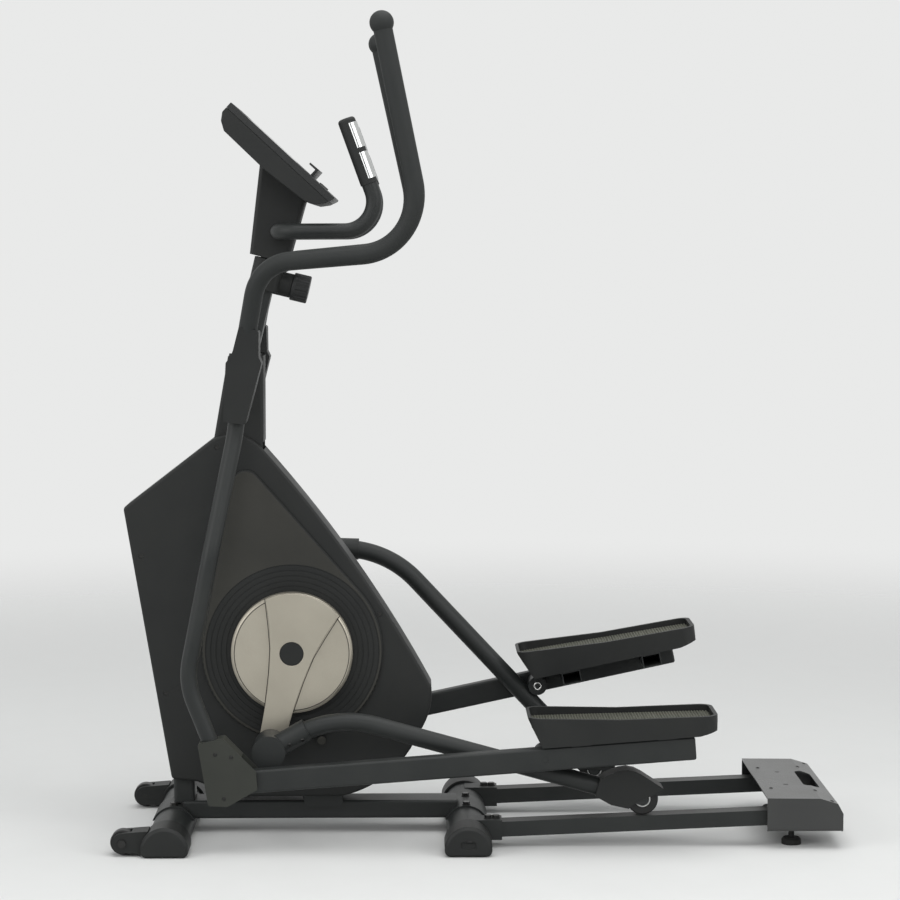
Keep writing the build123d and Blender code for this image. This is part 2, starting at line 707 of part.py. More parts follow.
def pulse_grip():
    sleeve = bar(pulse_point(GRIP_FROM), pulse_point(1.0), GRIP_RADIUS)
    sleeve = fillet(sleeve.edges().filter_by(GeomType.CIRCLE).sort_by(Axis.Z)[-1], 7)
    return sleeve - bar(pulse_point(0.3), pulse_point(0.96), PULSE_RADIUS + SEAT_FIT)


def pulse_sensors():
    """Two curved metal plates on the rear of the left grip."""
    plates = []
    along = Vector(*pulse_point(1)) - Vector(*pulse_point(0))
    rear = Plane(origin=pulse_point(0.7), x_dir=(0, 1, 0), z_dir=along)
    for low, high in PLATE_SPANS:
        plate = bar(pulse_point(low), pulse_point(high), GRIP_RADIUS + 1.4)
        plate -= bar(pulse_point(0.4), pulse_point(1.1), GRIP_RADIUS + 0.1)
        plates.append(plate & rear * Pos(0, -GRIP_RADIUS - 2, 0) * Box(60, 2 * GRIP_RADIUS, 300))
    return plates


# Swing axle and swing arms


def swing_axle():
    core = rod(SWING_X, SWING_Z, SWING_AXLE_RADIUS, -HUB_IN + SIDE_GAP, HUB_IN - SIDE_GAP)
    core += rod(SWING_X, SWING_Z, AXLE_RADIUS, -HUB_OUT - 1, HUB_OUT + 1)
    for head in both_sides(rod(SWING_X, SWING_Z, 17, -HUB_OUT - 6, -HUB_OUT - SIDE_GAP)):
        core += head
    return core


def stub_point(part):
    return STUB_UP[0] * part, -SWING_TOP_Y + (STUB_UP[1] + SWING_TOP_Y) * part, STUB_UP[2] * part


def fork_gap():
    return BEAM_WIDTH / 2 + 1.0


def swing_arm():
    """Lower swing tube with the axle hub, the handle stub above and the fork for the beam below."""
    arm = bent_tube(LOW_RUN, LOW_BENDS, SWING_TUBE, TUBE_WALL)
    arm += bar(stub_point(0), stub_point(0.46), TUBE_RADIUS - TUBE_WALL - SEAT_FIT)
    arm += rod(0, 0, 24, -HUB_OUT, -HUB_IN)
    lug_top = LUG_HIGH - SWING_RADIUS
    lug = outline((-42, lug_top), (6, lug_top), (22, -SWING_RADIUS), (-22, -SWING_RADIUS))
    lug += Pos(0, -SWING_RADIUS) * Circle(22)
    gap = fork_gap()
    for y in (-BEAM_Y - gap - FORK, -BEAM_Y + gap):
        arm += slab(lug, y, y + FORK)
    arm -= rod(0, 0, AXLE_RADIUS + RUNNING_FIT, -HUB_OUT - 1, -HUB_IN + 1)
    return arm - rod(0, -SWING_RADIUS, PIN_RADIUS + RUNNING_FIT, -BEAM_Y - 40, -BEAM_Y + 40)


def swing_handle():
    run = [stub_point(0.17), STUB_UP, HANDLE_CORNER, HANDLE_END]
    tube = bent_tube(run, [92, 120], TUBE_RADIUS, TUBE_WALL)
    return tube + Pos(*BALL_CENTRE) * Sphere(BALL_RADIUS)


def pivot_cover():
    """Plastic sleeve over the joint of the swing arm, its handle and the axle."""
    points = ((-6, 80), (34, 73), (36, 20), (42, 8), (14, -117), (-31, -113), (-30, 6), (-18, 24))
    y_out, y_in = -HUB_OUT - 12, -HUB_IN + 4
    shell = slab(outline(*points, rounding=5), y_out, y_in)
    shell -= slab(offset(outline(*points), -SHELL_WALL), y_out + SHELL_WALL, y_in - SHELL_WALL)
    shell -= rod(0, 0, SWING_AXLE_RADIUS + 2, y_in - 10, y_in + 10)
    shell -= bar(stub_point(0.17), stub_point(0.8), TUBE_RADIUS + SEAT_FIT)
    return shell - bent_bar(LOW_RUN, LOW_BENDS, SWING_TUBE + SEAT_FIT)


def joint_cover():
    """Two plastic cheeks with a front wall round the joint of swing arm and pedal beam."""
    points = ((-56, 82), (-4, 94), (64, 30), (68, -7), (9, -44), (-30, -44))
    out = fork_gap() + FORK + SEAT_FIT
    shell = slab(outline(*points, rounding=6), -BEAM_Y - out - SHELL_WALL, -BEAM_Y + out + SHELL_WALL)
    space = outline((-52, 78), (-4, 90), (32, 56), (44, 72), (90, 72), (90, -70), (-26, -70))
    shell -= slab(space, -BEAM_Y - out, -BEAM_Y + out)
    shell = Pos(0, 0, -SWING_RADIUS) * shell
    return shell - bent_bar(LOW_RUN, LOW_BENDS, SWING_TUBE + SEAT_FIT)


def beam_pin():
    half = fork_gap() + FORK
    return rod(0, 0, PIN_RADIUS, -BEAM_Y - half, -BEAM_Y + half)


# Pedal beam, pedal and pad, drawn with the front pivot at the origin


def pedal_beam():
    half = BEAM_HEIGHT / 2
    tail = BEAM_PIVOT_SPAN + BEAM_TAIL
    y_out, y_in = -BEAM_Y - BEAM_WIDTH / 2, -BEAM_Y + BEAM_WIDTH / 2
    beam = block(0, tail, y_out, y_in, -half, half)
    beam = fillet(beam.edges().filter_by(Axis.X) + beam.faces().sort_by(Axis.X)[-1].edges(), 5)
    beam -= block(half, tail - 4, y_out + TUBE_WALL, y_in - TUBE_WALL, TUBE_WALL - half, half - TUBE_WALL)
    beam += rod(0, 0, half, y_out, y_in)
    beam += rod(BEAM_PIVOT_SPAN, 0, 15, y_out, y_in)
    for along in STUB_SPOTS:
        x = BEAM_PIVOT_SPAN + along - STUB_WIDE / 2
        stub = block(x, x + STUB_WIDE, y_in - 1, -PEDAL_IN - 1, -2, PEDAL_BOTTOM)
        hollow = block(x + 2, x + STUB_WIDE - 2, y_in, -PEDAL_IN, 0, PEDAL_BOTTOM - 2)
        beam += stub - hollow
        beam += block(x, x + STUB_WIDE, y_out, y_in, half - 1, PEDAL_BOTTOM)
    beam -= rod(0, 0, PIN_RADIUS + RUNNING_FIT, y_out - 1, y_in + 1)
    return beam - rod(BEAM_PIVOT_SPAN, 0, STUD_RADIUS + RUNNING_FIT, y_out - 1, y_in + 1)


def pedal_plan(inset, low, high):
    """A block with the pedal's rounded plan, between two heights over the beam."""
    long = PEDAL_REAR - PEDAL_FRONT - 2 * inset
    wide = PEDAL_OUT - PEDAL_IN - 2 * inset
    face = RectangleRounded(long, wide, PEDAL_CORNER - inset)
    middle = ((PEDAL_FRONT + PEDAL_REAR) / 2, -(PEDAL_IN + PEDAL_OUT) / 2, low)
    return Pos(*middle) * extrude(face, amount=high - low)


def floor_height(x):
    """Height of the tray floor over the beam, falling gently to the rear."""
    return TRAY_FLOOR - (x - PEDAL_FRONT) * TRAY_FALL


def floor_band(lift, high):
    """All the space over the tray floor from one lift up to another."""
    a, b = PEDAL_FRONT - 20, PEDAL_REAR + 20
    points = ((a, floor_height(a) + lift), (b, floor_height(b) + lift))
    points += ((b, floor_height(b) + high), (a, floor_height(a) + high))
    return slab(outline(*points), -PEDAL_OUT - 5, -PEDAL_IN + 5)


def pedal():
    low = PEDAL_BOTTOM + SEAT_FIT
    rim = ((PEDAL_FRONT, 88), (PEDAL_FRONT + 190, 71), (PEDAL_REAR, 64))
    side = outline((PEDAL_FRONT + 26, low), *rim, (PEDAL_REAR - 4, 33), (PEDAL_REAR - 40, low))
    tray = slab(side, -PEDAL_OUT, -PEDAL_IN) & pedal_plan(0, 0, 140)
    tray = fillet(tray.edges().group_by(Axis.Z)[-1], 2.5)
    tray -= pedal_plan(PEDAL_RIM, 0, 140) & floor_band(0, 60)
    hollow = pedal_plan(PEDAL_RIM, low - 1, 140) - floor_band(-5, 100)
    hollow -= block(PEDAL_FRONT, PEDAL_FRONT + 44, -PEDAL_OUT, -PEDAL_IN, 0, 140)
    hollow -= block(PEDAL_REAR - 40, PEDAL_REAR, -PEDAL_OUT, -PEDAL_IN, 0, 140)
    for along in STUB_SPOTS:
        x = BEAM_PIVOT_SPAN + along
        hollow -= block(x - 8, x + 8, -PEDAL_OUT, -PEDAL_IN, 0, 140)
    return tray - hollow


def pedal_pad():
    """Rubber pad on the tray floor with ribs across it."""
    plan = pedal_plan(PEDAL_RIM + SEAT_FIT, 0, 140)
    pad = plan & floor_band(SEAT_FIT, PAD_THICK)
    pitch = (PEDAL_REAR - PEDAL_FRONT - 60) / (PAD_RIBS - 1)
    for i in range(PAD_RIBS):
        x = PEDAL_FRONT + 30 + i * pitch
        z = floor_height(x) + PAD_THICK
        pad += block(x - 3, x + 3, -PEDAL_OUT + 22, -PEDAL_IN - 22, z - 2, z + 1.6)
    return pad


# Roller arm, roller cover and roller, drawn with the roller axle at the origin


def roller_arm():
    """Bent tube with the crank boss in front, the pedal stud in the middle and the roller fork behind."""
    y = -RAIL_Y
    toward = turned((ARM_SHORT_LEG - 50, 0), ARM_BEND)
    socket = turned((ARM_SHORT_LEG - 90, 0), ARM_BEND)
    run = [(TUBE_STOP, y, 0), (ARM_CORNER[0], y, 0), (ARM_CORNER[0] - toward[0], y, -toward[1])]
    arm = bent_tube(run, [ARM_BEND_RADIUS], TUBE_RADIUS, TUBE_WALL)
    arm += bar((ARM_CORNER[0] - socket[0], y, -socket[1]), (ARM_PIN[0], y, ARM_PIN[1]), TUBE_RADIUS + 4)
    arm += rod(*ARM_PIN, BOSS_RADIUS, -BOSS_OUT, -BOSS_IN)
    arm += rod(*ARM_PIN, AXLE_RADIUS + 2, -BOSS_IN, -ARM_OUT - SIDE_GAP)
    beam_in = -BEAM_Y + BEAM_WIDTH / 2
    arm += rod(*ARM_PEDAL, TUBE_RADIUS + 1, beam_in + SIDE_GAP, y + TUBE_RADIUS + 2)
    arm += rod(*ARM_PEDAL, STUD_RADIUS, beam_in - BEAM_WIDTH + 1, y)
    prong = outline((TUBE_STOP - 20, -15), (TUBE_STOP - 20, 15), (0, 11), (0, -11)) + Circle(11)
    for side in (y - FORK_IN - FORK, y + FORK_IN):
        arm += slab(prong, side, side + FORK)
    arm -= block(TUBE_STOP, 60, y - FORK_IN, y + FORK_IN, -60, 60)
    return arm - rod(0, 0, AXLE_PIN, y - 40, y + 40)


def roller_cover():
    """Teardrop plastic cover over the fork and the upper side of the roller."""
    hump = ((-96, 18), (-87, 27), (-78, 34), (-63, 45), (-47, 52), (-31, 53), (-16, 50), (9, 42), (34, 34))
    under = ((33, 27), (-12, -8), (-23, -25), (-60, -27), (-96, -18))
    face = outline(*hump, *under)
    out = FORK_IN + FORK + SEAT_FIT
    shell = slab(face, -RAIL_Y - out - SHELL_WALL, -RAIL_Y + out + SHELL_WALL)
    shell -= slab(offset(face, -SHELL_WALL), -RAIL_Y - out, -RAIL_Y + out)
    wheel_half = ROLLER_WIDTH / 2 + 2
    shell -= rod(0, 0, ROLLER_RADIUS + 3, -RAIL_Y - wheel_half, -RAIL_Y + wheel_half)
    below = outline((-60, -60), (60, -60), (60, 31), (33, 31), (-15, -1), (-27, -20), (-60, -22))
    shell -= slab(below, -RAIL_Y - out, -RAIL_Y + out)
    return shell - bar((-160, -RAIL_Y, 0), (-40, -RAIL_Y, 0), TUBE_RADIUS + SEAT_FIT)


def roller_axle():
    half = FORK_IN + FORK
    return rod(0, 0, AXLE_PIN, -RAIL_Y - half, -RAIL_Y + half)


def roller():
    half = ROLLER_WIDTH / 2
    wheel = rod(0, 0, ROLLER_RADIUS, -RAIL_Y - half, -RAIL_Y + half)
    wheel = fillet(wheel.edges().filter_by(GeomType.CIRCLE), 3)
    return wheel - rod(0, 0, AXLE_PIN + RUNNING_FIT, -RAIL_Y - half - 1, -RAIL_Y + half + 1)


# Crank: axle, bearings, discs, arms and pulley, drawn with the axle at the origin


def crank_axle():
    return rod(0, 0, AXLE_RADIUS, -ARM_OUT + CAP_DEEP + 1, ARM_OUT - CAP_DEEP - 1)


def crank_bearing():
    ring = Circle(BEARING_RADIUS) - Circle(AXLE_RADIUS + RUNNING_FIT)
    return Pos(0, 0, CRANK_HEIGHT) * slab(ring, -BASE_HALF - 11, -BASE_HALF + 1)


def crank_disc():
    disc = rod(0, 0, DISC_RADIUS, -DISC_OUT, -DISC_IN)
    disc = chamfer(disc.faces().sort_by(Axis.Y)[0].edges(), 5)
    disc += rod(0, 0, CRANK_HOLE - 6, -DISC_IN - 1, -BASE_HALF - 14)
    return disc - rod(0, 0, AXLE_RADIUS + PRESS_SEAT, -ARM_OUT, 0)


def crank_arm():
    """Waisted arm cover that runs from the disc's rim down to the crank pin."""
    tip = 26.0
    rim = sqrt((DISC_RADIUS - 1) ** 2 - 78**2)
    left = Spline((-78, rim), (-45, 0), (-30, -110), (-tip, -CRANK_RADIUS))
    end = ThreePointArc((-tip, -CRANK_RADIUS), (0, -CRANK_RADIUS - tip), (tip, -CRANK_RADIUS))
    right = Spline((tip, -CRANK_RADIUS), (30, -110), (45, 0), (78, rim))
    top = ThreePointArc((78, rim), (0, DISC_RADIUS - 1), (-78, rim))
    arm = slab(make_face(left + end + right + top), -ARM_OUT, -DISC_OUT - SEAT_FIT)
    arm -= rod(0, 0, CAP_RADIUS + SEAT_FIT, -ARM_OUT - 1, -ARM_OUT + CAP_DEEP)
    return arm - rod(0, 0, AXLE_RADIUS + PRESS_SEAT, -ARM_OUT, 0)


def crank_cap():
    return rod(0, 0, CAP_RADIUS, -ARM_OUT, -ARM_OUT + CAP_DEEP - SEAT_FIT)


def drive_pulley():
    wheel = rod(0, 0, PULLEY_RADIUS, -PULLEY_OUT, -PULLEY_IN)
    for y in (-PULLEY_OUT, -PULLEY_IN - 2):
        wheel += rod(0, 0, PULLEY_RADIUS + 5, y, y + 2)
    for i in range(5):
        x, z = turned((88, 0), 72 * i)
        wheel -= rod(x, z, 32, -PULLEY_OUT - 1, -PULLEY_IN + 1)
    wheel += rod(0, 0, 26, -PULLEY_OUT, 8)
    return wheel - rod(0, 0, AXLE_RADIUS + PRESS_SEAT, -PULLEY_OUT - 1, 9)


def belt_face(radius_gap):
    big = Pos(0, CRANK_HEIGHT) * Circle(PULLEY_RADIUS + radius_gap)
    small = Pos(FLYWHEEL_X, FLYWHEEL_Z) * Circle(SMALL_PULLEY_RADIUS + radius_gap)
    return make_hull(big.edges() + small.edges())


def drive_belt():
    loop = belt_face(BELT_PLAY + BELT) - belt_face(BELT_PLAY)
    return slab(loop, -PULLEY_OUT + 3, -PULLEY_IN - 3)


def flywheel():
    """Heavy wheel with its shaft and the small belt pulley."""
    wheel = rod(FLYWHEEL_X, FLYWHEEL_Z, FLYWHEEL_RADIUS, 6, 30)
    recess = Pos(FLYWHEEL_X, FLYWHEEL_Z) * (Circle(FLYWHEEL_RADIUS - 22) - Circle(26))
    wheel -= slab(recess, 14, 31)
    wheel += rod(FLYWHEEL_X, FLYWHEEL_Z, SMALL_PULLEY_RADIUS, -PULLEY_OUT, 6)
    for y in (-PULLEY_OUT, -PULLEY_IN - 2):
        wheel += rod(FLYWHEEL_X, FLYWHEEL_Z, SMALL_PULLEY_RADIUS + 5, y, y + 2)
    return wheel + rod(FLYWHEEL_X, FLYWHEEL_Z, FLYWHEEL_SHAFT, -BASE_HALF - PLATE, BASE_HALF + PLATE)


def magnet_bracket():
    """Curved magnet shoe beside the flywheel, turning on its own pivot rod."""
    inner = FLYWHEEL_RADIUS + MAGNET_GAP
    ring = Circle(inner + 9) - Circle(inner)
    sector = outline((0, 0), turned((300, 0), 80), turned((300, 0), 99), turned((300, 0), 118))
    shoe = slab(Pos(FLYWHEEL_X, FLYWHEEL_Z) * (ring & sector), 4, 32)
    lever = outline((MAGNET_X - 9, MAGNET_Z), (MAGNET_X + 2, MAGNET_Z - 9), (-88, 712), (-92, 726))
    shoe += slab(lever + Pos(MAGNET_X, MAGNET_Z) * Circle(10), 8, 28)
    shoe -= rod(FLYWHEEL_X, FLYWHEEL_Z, inner, 0, 40)
    return shoe + rod(MAGNET_X, MAGNET_Z, MAGNET_SHAFT, -BASE_HALF - PLATE, BASE_HALF + PLATE)


# Bolts and screws that hold the frame, stabilisers, rails, rear cover and wheels
def hex_bolt(x, y, z, depth):
    head = extrude(RegularPolygon(7.5, 6), amount=5)
    washer = extrude(Circle(9), amount=1.4)
    shank = Pos(0, 0, -depth) * extrude(Circle(BOLT_RADIUS - 0.1), amount=depth)
    return Pos(x, y, z) * (washer + Pos(0, 0, 1.4) * head + shank)


def fasteners():
    pieces = []
    saddle_top = BAR_LIFT + BAR_HEIGHT + SADDLE_WALL
    for x in (FRONT_BAR_X, MID_BAR_X):
        pieces += [hex_bolt(x, y, saddle_top + 0.05, 14) for y in (-SADDLE_BOLT_Y, SADDLE_BOLT_Y)]
    for y in (-RAIL_Y, RAIL_Y):
        pieces += [hex_bolt(RAIL_START + along, y, RAIL_TOP + 6, 14) for along in RAIL_BOLTS]
    axle = rod(WHEEL_X, WHEEL_Z, BOLT_RADIUS - PRESS_SEAT, -WHEEL_Y - 24, -WHEEL_Y + 24)
    axle += rod(WHEEL_X, WHEEL_Z, 8, -WHEEL_Y - 29, -WHEEL_Y - 24)
    pieces += both_sides(axle)
    for x, z in CASING_SCREWS:
        pieces += both_sides(rod(x, z, 4.6, 2 - CASING_HALF, 5 - CASING_HALF))
    for y in (-COVER_SCREW_Y, COVER_SCREW_Y):
        head = Pos(FOOT_X, y, COVER_HIGH - 1.5) * Cylinder(SCREW_HEAD, 2.6)
        shank = Pos(FOOT_X, y, COVER_HIGH - 12) * Cylinder(SCREW_RADIUS - 0.1, 20)
        pieces.append(head + shank)
    return pieces


# Every node of the part, in the frame of the crank axle
def build_nodes():
    nodes = {
        "main_frame": main_frame(),
        "front_stabiliser": stabiliser(FRONT_BAR_X),
        "mid_stabiliser": mid_stabiliser(),
        "front_caps": both_sides(front_cap()),
        "mid_caps": both_sides(mid_cap()),
        "rails": [rail(-RAIL_Y), rail(RAIL_Y)],
        "rear_cross_tube": rear_cross_tube(),
        "rear_cover": rear_cover(),
        "left_casing": casing(),
        "mast_boot": mast_boot(),
        "mast": mast(),
        "tension_housing": tension_housing(),
        "tension_knob": tension_knob(),
        "console_neck": console_neck(),
        "console_back": console_back(),
        "console_frame": console_frame(),
        "display_lens": display_lens(),
        "left_key": console_key(-KEY_PITCH),
        "right_key": console_key(KEY_PITCH),
        "pulse_handlebar": pulse_handlebar(),
        "pulse_grips": both_sides(pulse_grip()),
        "pulse_sensors": [plate for one in pulse_sensors() for plate in both_sides(one)],
        "swing_axle": swing_axle(),
        "crank_bearings": both_sides(crank_bearing()),
        "drive_belt": drive_belt(),
        "flywheel": flywheel(),
        "magnet_bracket": magnet_bracket(),
        "fasteners": fasteners(),
        "left_levelling_foot": levelling_foot(),
        "left_transport_wheel": transport_wheel(),
    }
    for name in ("casing", "levelling_foot", "transport_wheel"):
        nodes["right_" + name] = mirror(nodes["left_" + name], about=Plane.XZ)
    hub = (0, CRANK_HEIGHT)
    turn = -CRANK_LEAN
    nodes["crank_axle"] = placed(crank_axle(), hub, turn, "left")
    nodes["drive_pulley"] = placed(drive_pulley(), hub, turn, "left")
    pairs = {"crank_discs": crank_disc(), "crank_arms": crank_arm(), "crank_caps": crank_cap()}
    for name, piece in pairs.items():
        nodes[name] = [placed(piece, hub, turn, "left"), placed(piece, hub, turn + 180, "right")]
    links = {
        "swing_arm": (swing_arm(), "swing"),
        "swing_handle": (swing_handle(), "swing"),
        "pivot_cover": (pivot_cover(), "swing"),
        "joint_cover": (joint_cover(), "swing"),
        "beam_pin": (beam_pin(), "beam"),
        "pedal_beam": (pedal_beam(), "beam"),
        "pedal": (pedal(), "beam"),
        "pedal_pad": (pedal_pad(), "beam"),
        "roller_arm": ([roller_arm(), roller_axle()], "arm"),
        "roller_cover": (roller_cover(), "arm"),
        "roller": (roller(), "arm"),
    }
    for side, pose in REST.items():
        spots = {"swing": (SWING_X, SWING_Z), "beam": pose["front"], "arm": pose["roller"]}
        for name, (shapes, link) in links.items():
            pieces = shapes if isinstance(shapes, list) else [shapes]
            nodes[f"{side}_{name}"] = [placed(piece, spots[link], pose[link], side) for piece in pieces]
    return nodes


os.makedirs("parts", exist_ok=True)
for node_name, shapes in build_nodes().items():
    pieces = shapes if isinstance(shapes, list) else [shapes]
    node = Compound(children=[Pos(-MIDDLE_X, 0, 0) * piece for piece in pieces])
    export_step(node, f"parts/{node_name}.step")
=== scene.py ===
import json
from math import atan2, cos, pi, radians, sin

import bmesh
import bpy
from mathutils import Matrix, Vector
from mathutils.bvhtree import BVHTree


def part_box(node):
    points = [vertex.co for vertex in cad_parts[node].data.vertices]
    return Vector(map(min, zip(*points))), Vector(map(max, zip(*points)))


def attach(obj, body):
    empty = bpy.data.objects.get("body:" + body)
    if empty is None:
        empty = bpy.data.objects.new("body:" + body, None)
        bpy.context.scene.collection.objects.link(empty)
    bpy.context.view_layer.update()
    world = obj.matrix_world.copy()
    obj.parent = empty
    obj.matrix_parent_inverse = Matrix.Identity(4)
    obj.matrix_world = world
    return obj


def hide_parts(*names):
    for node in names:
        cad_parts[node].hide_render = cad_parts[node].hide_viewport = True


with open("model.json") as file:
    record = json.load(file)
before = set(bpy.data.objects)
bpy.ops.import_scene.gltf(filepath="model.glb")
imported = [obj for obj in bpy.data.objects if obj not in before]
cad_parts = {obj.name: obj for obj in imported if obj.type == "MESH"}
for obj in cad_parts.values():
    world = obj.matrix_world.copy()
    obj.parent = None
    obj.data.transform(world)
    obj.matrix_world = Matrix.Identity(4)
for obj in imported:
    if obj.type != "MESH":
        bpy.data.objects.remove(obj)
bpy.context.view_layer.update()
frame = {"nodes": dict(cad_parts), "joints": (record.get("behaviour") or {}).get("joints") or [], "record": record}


# Base frame: a flat rectangular beam, saddles, a kinked upright and two drive plates, with the stabiliser
# tubes and the rear cross tube. All of it is steel, welded and powder coated charcoal. The coat has a fine
# orange peel and is a little uneven in gloss.
nodes = frame["nodes"]


def fed(tree, node, sockets):
    """Gives each named socket of a node its value, or links the output that feeds it."""
    for label, value in sockets.items():
        if isinstance(value, bpy.types.NodeSocket):
            tree.links.new(value, node.inputs[label])
        else:
            node.inputs[label].default_value = value
    return node


def added(tree, kind, sockets=None, **settings):
    """A new node of a tree, with its settings and what its sockets hold."""
    node = tree.nodes.new(kind)
    for setting, value in settings.items():
        setattr(node, setting, value)
    return fed(tree, node, sockets or {})


def worked(tree, operation, *terms):
    """The result of one sum over numbers or other results."""
    return added(tree, "ShaderNodeMath", dict(enumerate(terms)), operation=operation).outputs["Value"]


def ramp(tree, value, start, end, low=0.0, high=1.0, **settings):
    """A value spread from the range start to end onto the range low to high."""
    sockets = {"Value": value, "From Min": start, "From Max": end, "To Min": low, "To Max": high}
    return added(tree, "ShaderNodeMapRange", sockets, **settings).outputs["Result"]


def mixed(tree, share, first, second):
    """A colour that goes from the first to the second with the share."""
    sockets = {"Factor": share, "A": first, "B": second}
    return added(tree, "ShaderNodeMix", sockets, data_type="RGBA").outputs["Result"]


def declared(tree, inputs, outputs):
    """Names what goes into a tree and what comes out, and gives both ends."""
    for label, kind in inputs.items():
        tree.interface.new_socket(label, in_out="INPUT", socket_type="NodeSocket" + kind)
    for label, kind in outputs.items():
        tree.interface.new_socket(label, in_out="OUTPUT", socket_type="NodeSocket" + kind)
    return added(tree, "NodeGroupInput").outputs, added(tree, "NodeGroupOutput")


PATCH_SCALE = 9.0
FINE_SHARE, BROAD_SHARE = 0.45, 0.55
# The lighter grey that level faces go towards is partly dust and partly painted sheen.
DUST_AND_SHEEN_GREY = (0.30, 0.30, 0.28, 1)
LEVEL_FROM = 0.75


def surface_grain():
    """Shader group: fine grain, broad soft changes of tone and roughness, and a lighter grey on level faces that
    is partly dust and partly painted sheen.
    """
    group = bpy.data.node_groups.new("surface_grain", "ShaderNodeTree")
    inputs = {
        "Dark": "Color", "Light": "Color", "Rough Low": "Float", "Rough High": "Float",
        "Grain Scale": "Float", "Dust And Sheen": "Float",
    }
    given, result = declared(group, inputs, {"Color": "Color", "Roughness": "Float", "Height": "Float"})
    place = added(group, "ShaderNodeTexCoord").outputs["Object"]
    broad = added(group, "ShaderNodeTexNoise", {"Vector": place, "Scale": PATCH_SCALE, "Detail": 4.0})
    patches = ramp(group, broad.outputs["Fac"], start=0.3, end=0.7)
    fine = added(group, "ShaderNodeTexNoise", {"Vector": place, "Scale": given["Grain Scale"], "Detail": 2.0})
    grain = fine.outputs["Fac"]
    share = worked(group, "MULTIPLY_ADD", grain, FINE_SHARE, worked(group, "MULTIPLY", patches, BROAD_SHARE))
    tone = mixed(group, share, given["Dark"], given["Light"])
    facing = added(group, "ShaderNodeNewGeometry").outputs["Normal"]
    upward = added(group, "ShaderNodeSeparateXYZ", {"Vector": facing}).outputs["Z"]
    # Level faces are lightened towards that grey: partly dust, partly painted sheen where the overhead light
    # falls.
    lying = worked(group, "MULTIPLY", ramp(group, upward, start=LEVEL_FROM, end=1.0), patches)
    dust_and_sheen_tone = mixed(group, worked(group, "MULTIPLY", lying, given["Dust And Sheen"]), tone, DUST_AND_SHEEN_GREY)
    rough = ramp(group, patches, start=0.0, end=1.0, low=given["Rough Low"], high=given["Rough High"])
    fed(group, result, {"Color": dust_and_sheen_tone, "Roughness": rough, "Height": grain})
    return group


GRAIN = surface_grain()
BUMP_STRENGTH = 0.5


def finish_of(name, dark, light, rough, grain, depth, metallic=0.0, dust_and_sheen=0.0, shine=0.25):
    """A material whose tone, roughness and bump come from the grain group."""
    material = bpy.data.materials.new(name)
    material.use_nodes = True
    tree = material.node_tree
    sockets = {
        "Dark": (*dark, 1), "Light": (*light, 1), "Rough Low": rough[0], "Rough High": rough[1],
        "Grain Scale": grain, "Dust And Sheen": dust_and_sheen,
    }
    skin = added(tree, "ShaderNodeGroup", sockets, node_tree=GRAIN, name="Grain").outputs
    height = {"Height": skin["Height"], "Strength": BUMP_STRENGTH, "Distance": depth}
    bump = added(tree, "ShaderNodeBump", height, name="Bump")
    surface = {
        "Base Color": skin["Color"], "Roughness": skin["Roughness"], "Normal": bump.outputs["Normal"],
        "Metallic": metallic, "Specular IOR Level": shine,
    }
    fed(tree, tree.nodes["Principled BSDF"], surface)
    return material


def coated(material, *names):
    """Puts a finish on CAD nodes that keep their own shape."""
    for name in names:
        nodes[name].data.materials.clear()
        nodes[name].data.materials.append(material)


powder_coat = finish_of(
    "powder_coat", dark=(0.014, 0.016, 0.016), light=(0.026, 0.028, 0.027),
    rough=(0.40, 0.52), grain=900.0, depth=0.0004, dust_and_sheen=0.05,
)
coated(powder_coat, "main_frame", "front_stabiliser", "mid_stabiliser", "rear_cross_tube")


# Stabiliser caps and transport wheels: matt moulded caps with a spark-eroded grain, pushed over the tube
# ends, the front pair with forks for nylon wheels. The mould leaves their edges eased, and each mid cap
# has a small slot with a tab in its end.
bodies = frame["record"]["behaviour"]["bodies"]
SIDES = {"left": -1, "right": 1}


def body_of(name):
    return next(body for body, members in bodies.items() if name in members)


def placed(name, data):
    """A new object in the scene, at the origin."""
    thing = bpy.data.objects.new(name, data)
    bpy.context.scene.collection.objects.link(thing)
    return thing


def merged_copy(name):
    """The CAD node's shape as one closed mesh with whole flat faces."""
    mesh = nodes[name].data.copy()
    work = bmesh.new()
    work.from_mesh(mesh)
    bmesh.ops.remove_doubles(work, verts=work.verts, dist=1e-5)
    bmesh.ops.dissolve_limit(
        work, angle_limit=radians(0.15), verts=work.verts, edges=work.edges, use_dissolve_boundaries=False
    )
    work.to_mesh(mesh)
    work.free()
    return placed(name + "_shell", mesh)


def smoothed(piece, crisp_from):
    """Smooth shading, with edges that turn by more than some degrees left crisp."""
    piece.data.polygons.foreach_set("use_smooth", [True] * len(piece.data.polygons))
    piece.data.set_sharp_from_angle(angle=radians(crisp_from))


def settle(piece):
    """Turns what the modifiers give into the piece's own plain mesh."""
    bpy.context.view_layer.update()
    view = bpy.context.evaluated_depsgraph_get()
    result = bpy.data.meshes.new_from_object(piece.evaluated_get(view))
    piece.modifiers.clear()
    piece.data = result


def stand_in(piece, name, *materials):
    """Gives a piece its finish and puts it in place of a CAD node."""
    piece.data.materials.clear()
    for material in materials:
        piece.data.materials.append(material)
    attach(piece, body_of(name))
    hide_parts(name)
    return piece


EASED_FROM = 40


def eased(name, width, *materials, steps=2):
    """A copy of a CAD node with eased edges, which stands for the node."""
    piece = merged_copy(name)
    smoothed(piece, crisp_from=30)
    round_off = piece.modifiers.new("eased edges", "BEVEL")
    round_off.width = width
    round_off.segments = steps
    round_off.limit_method = "ANGLE"
    round_off.angle_limit = radians(EASED_FROM)
    round_off.use_clamp_overlap = True
    round_off.harden_normals = True
    settle(piece)
    return stand_in(piece, name, *materials)


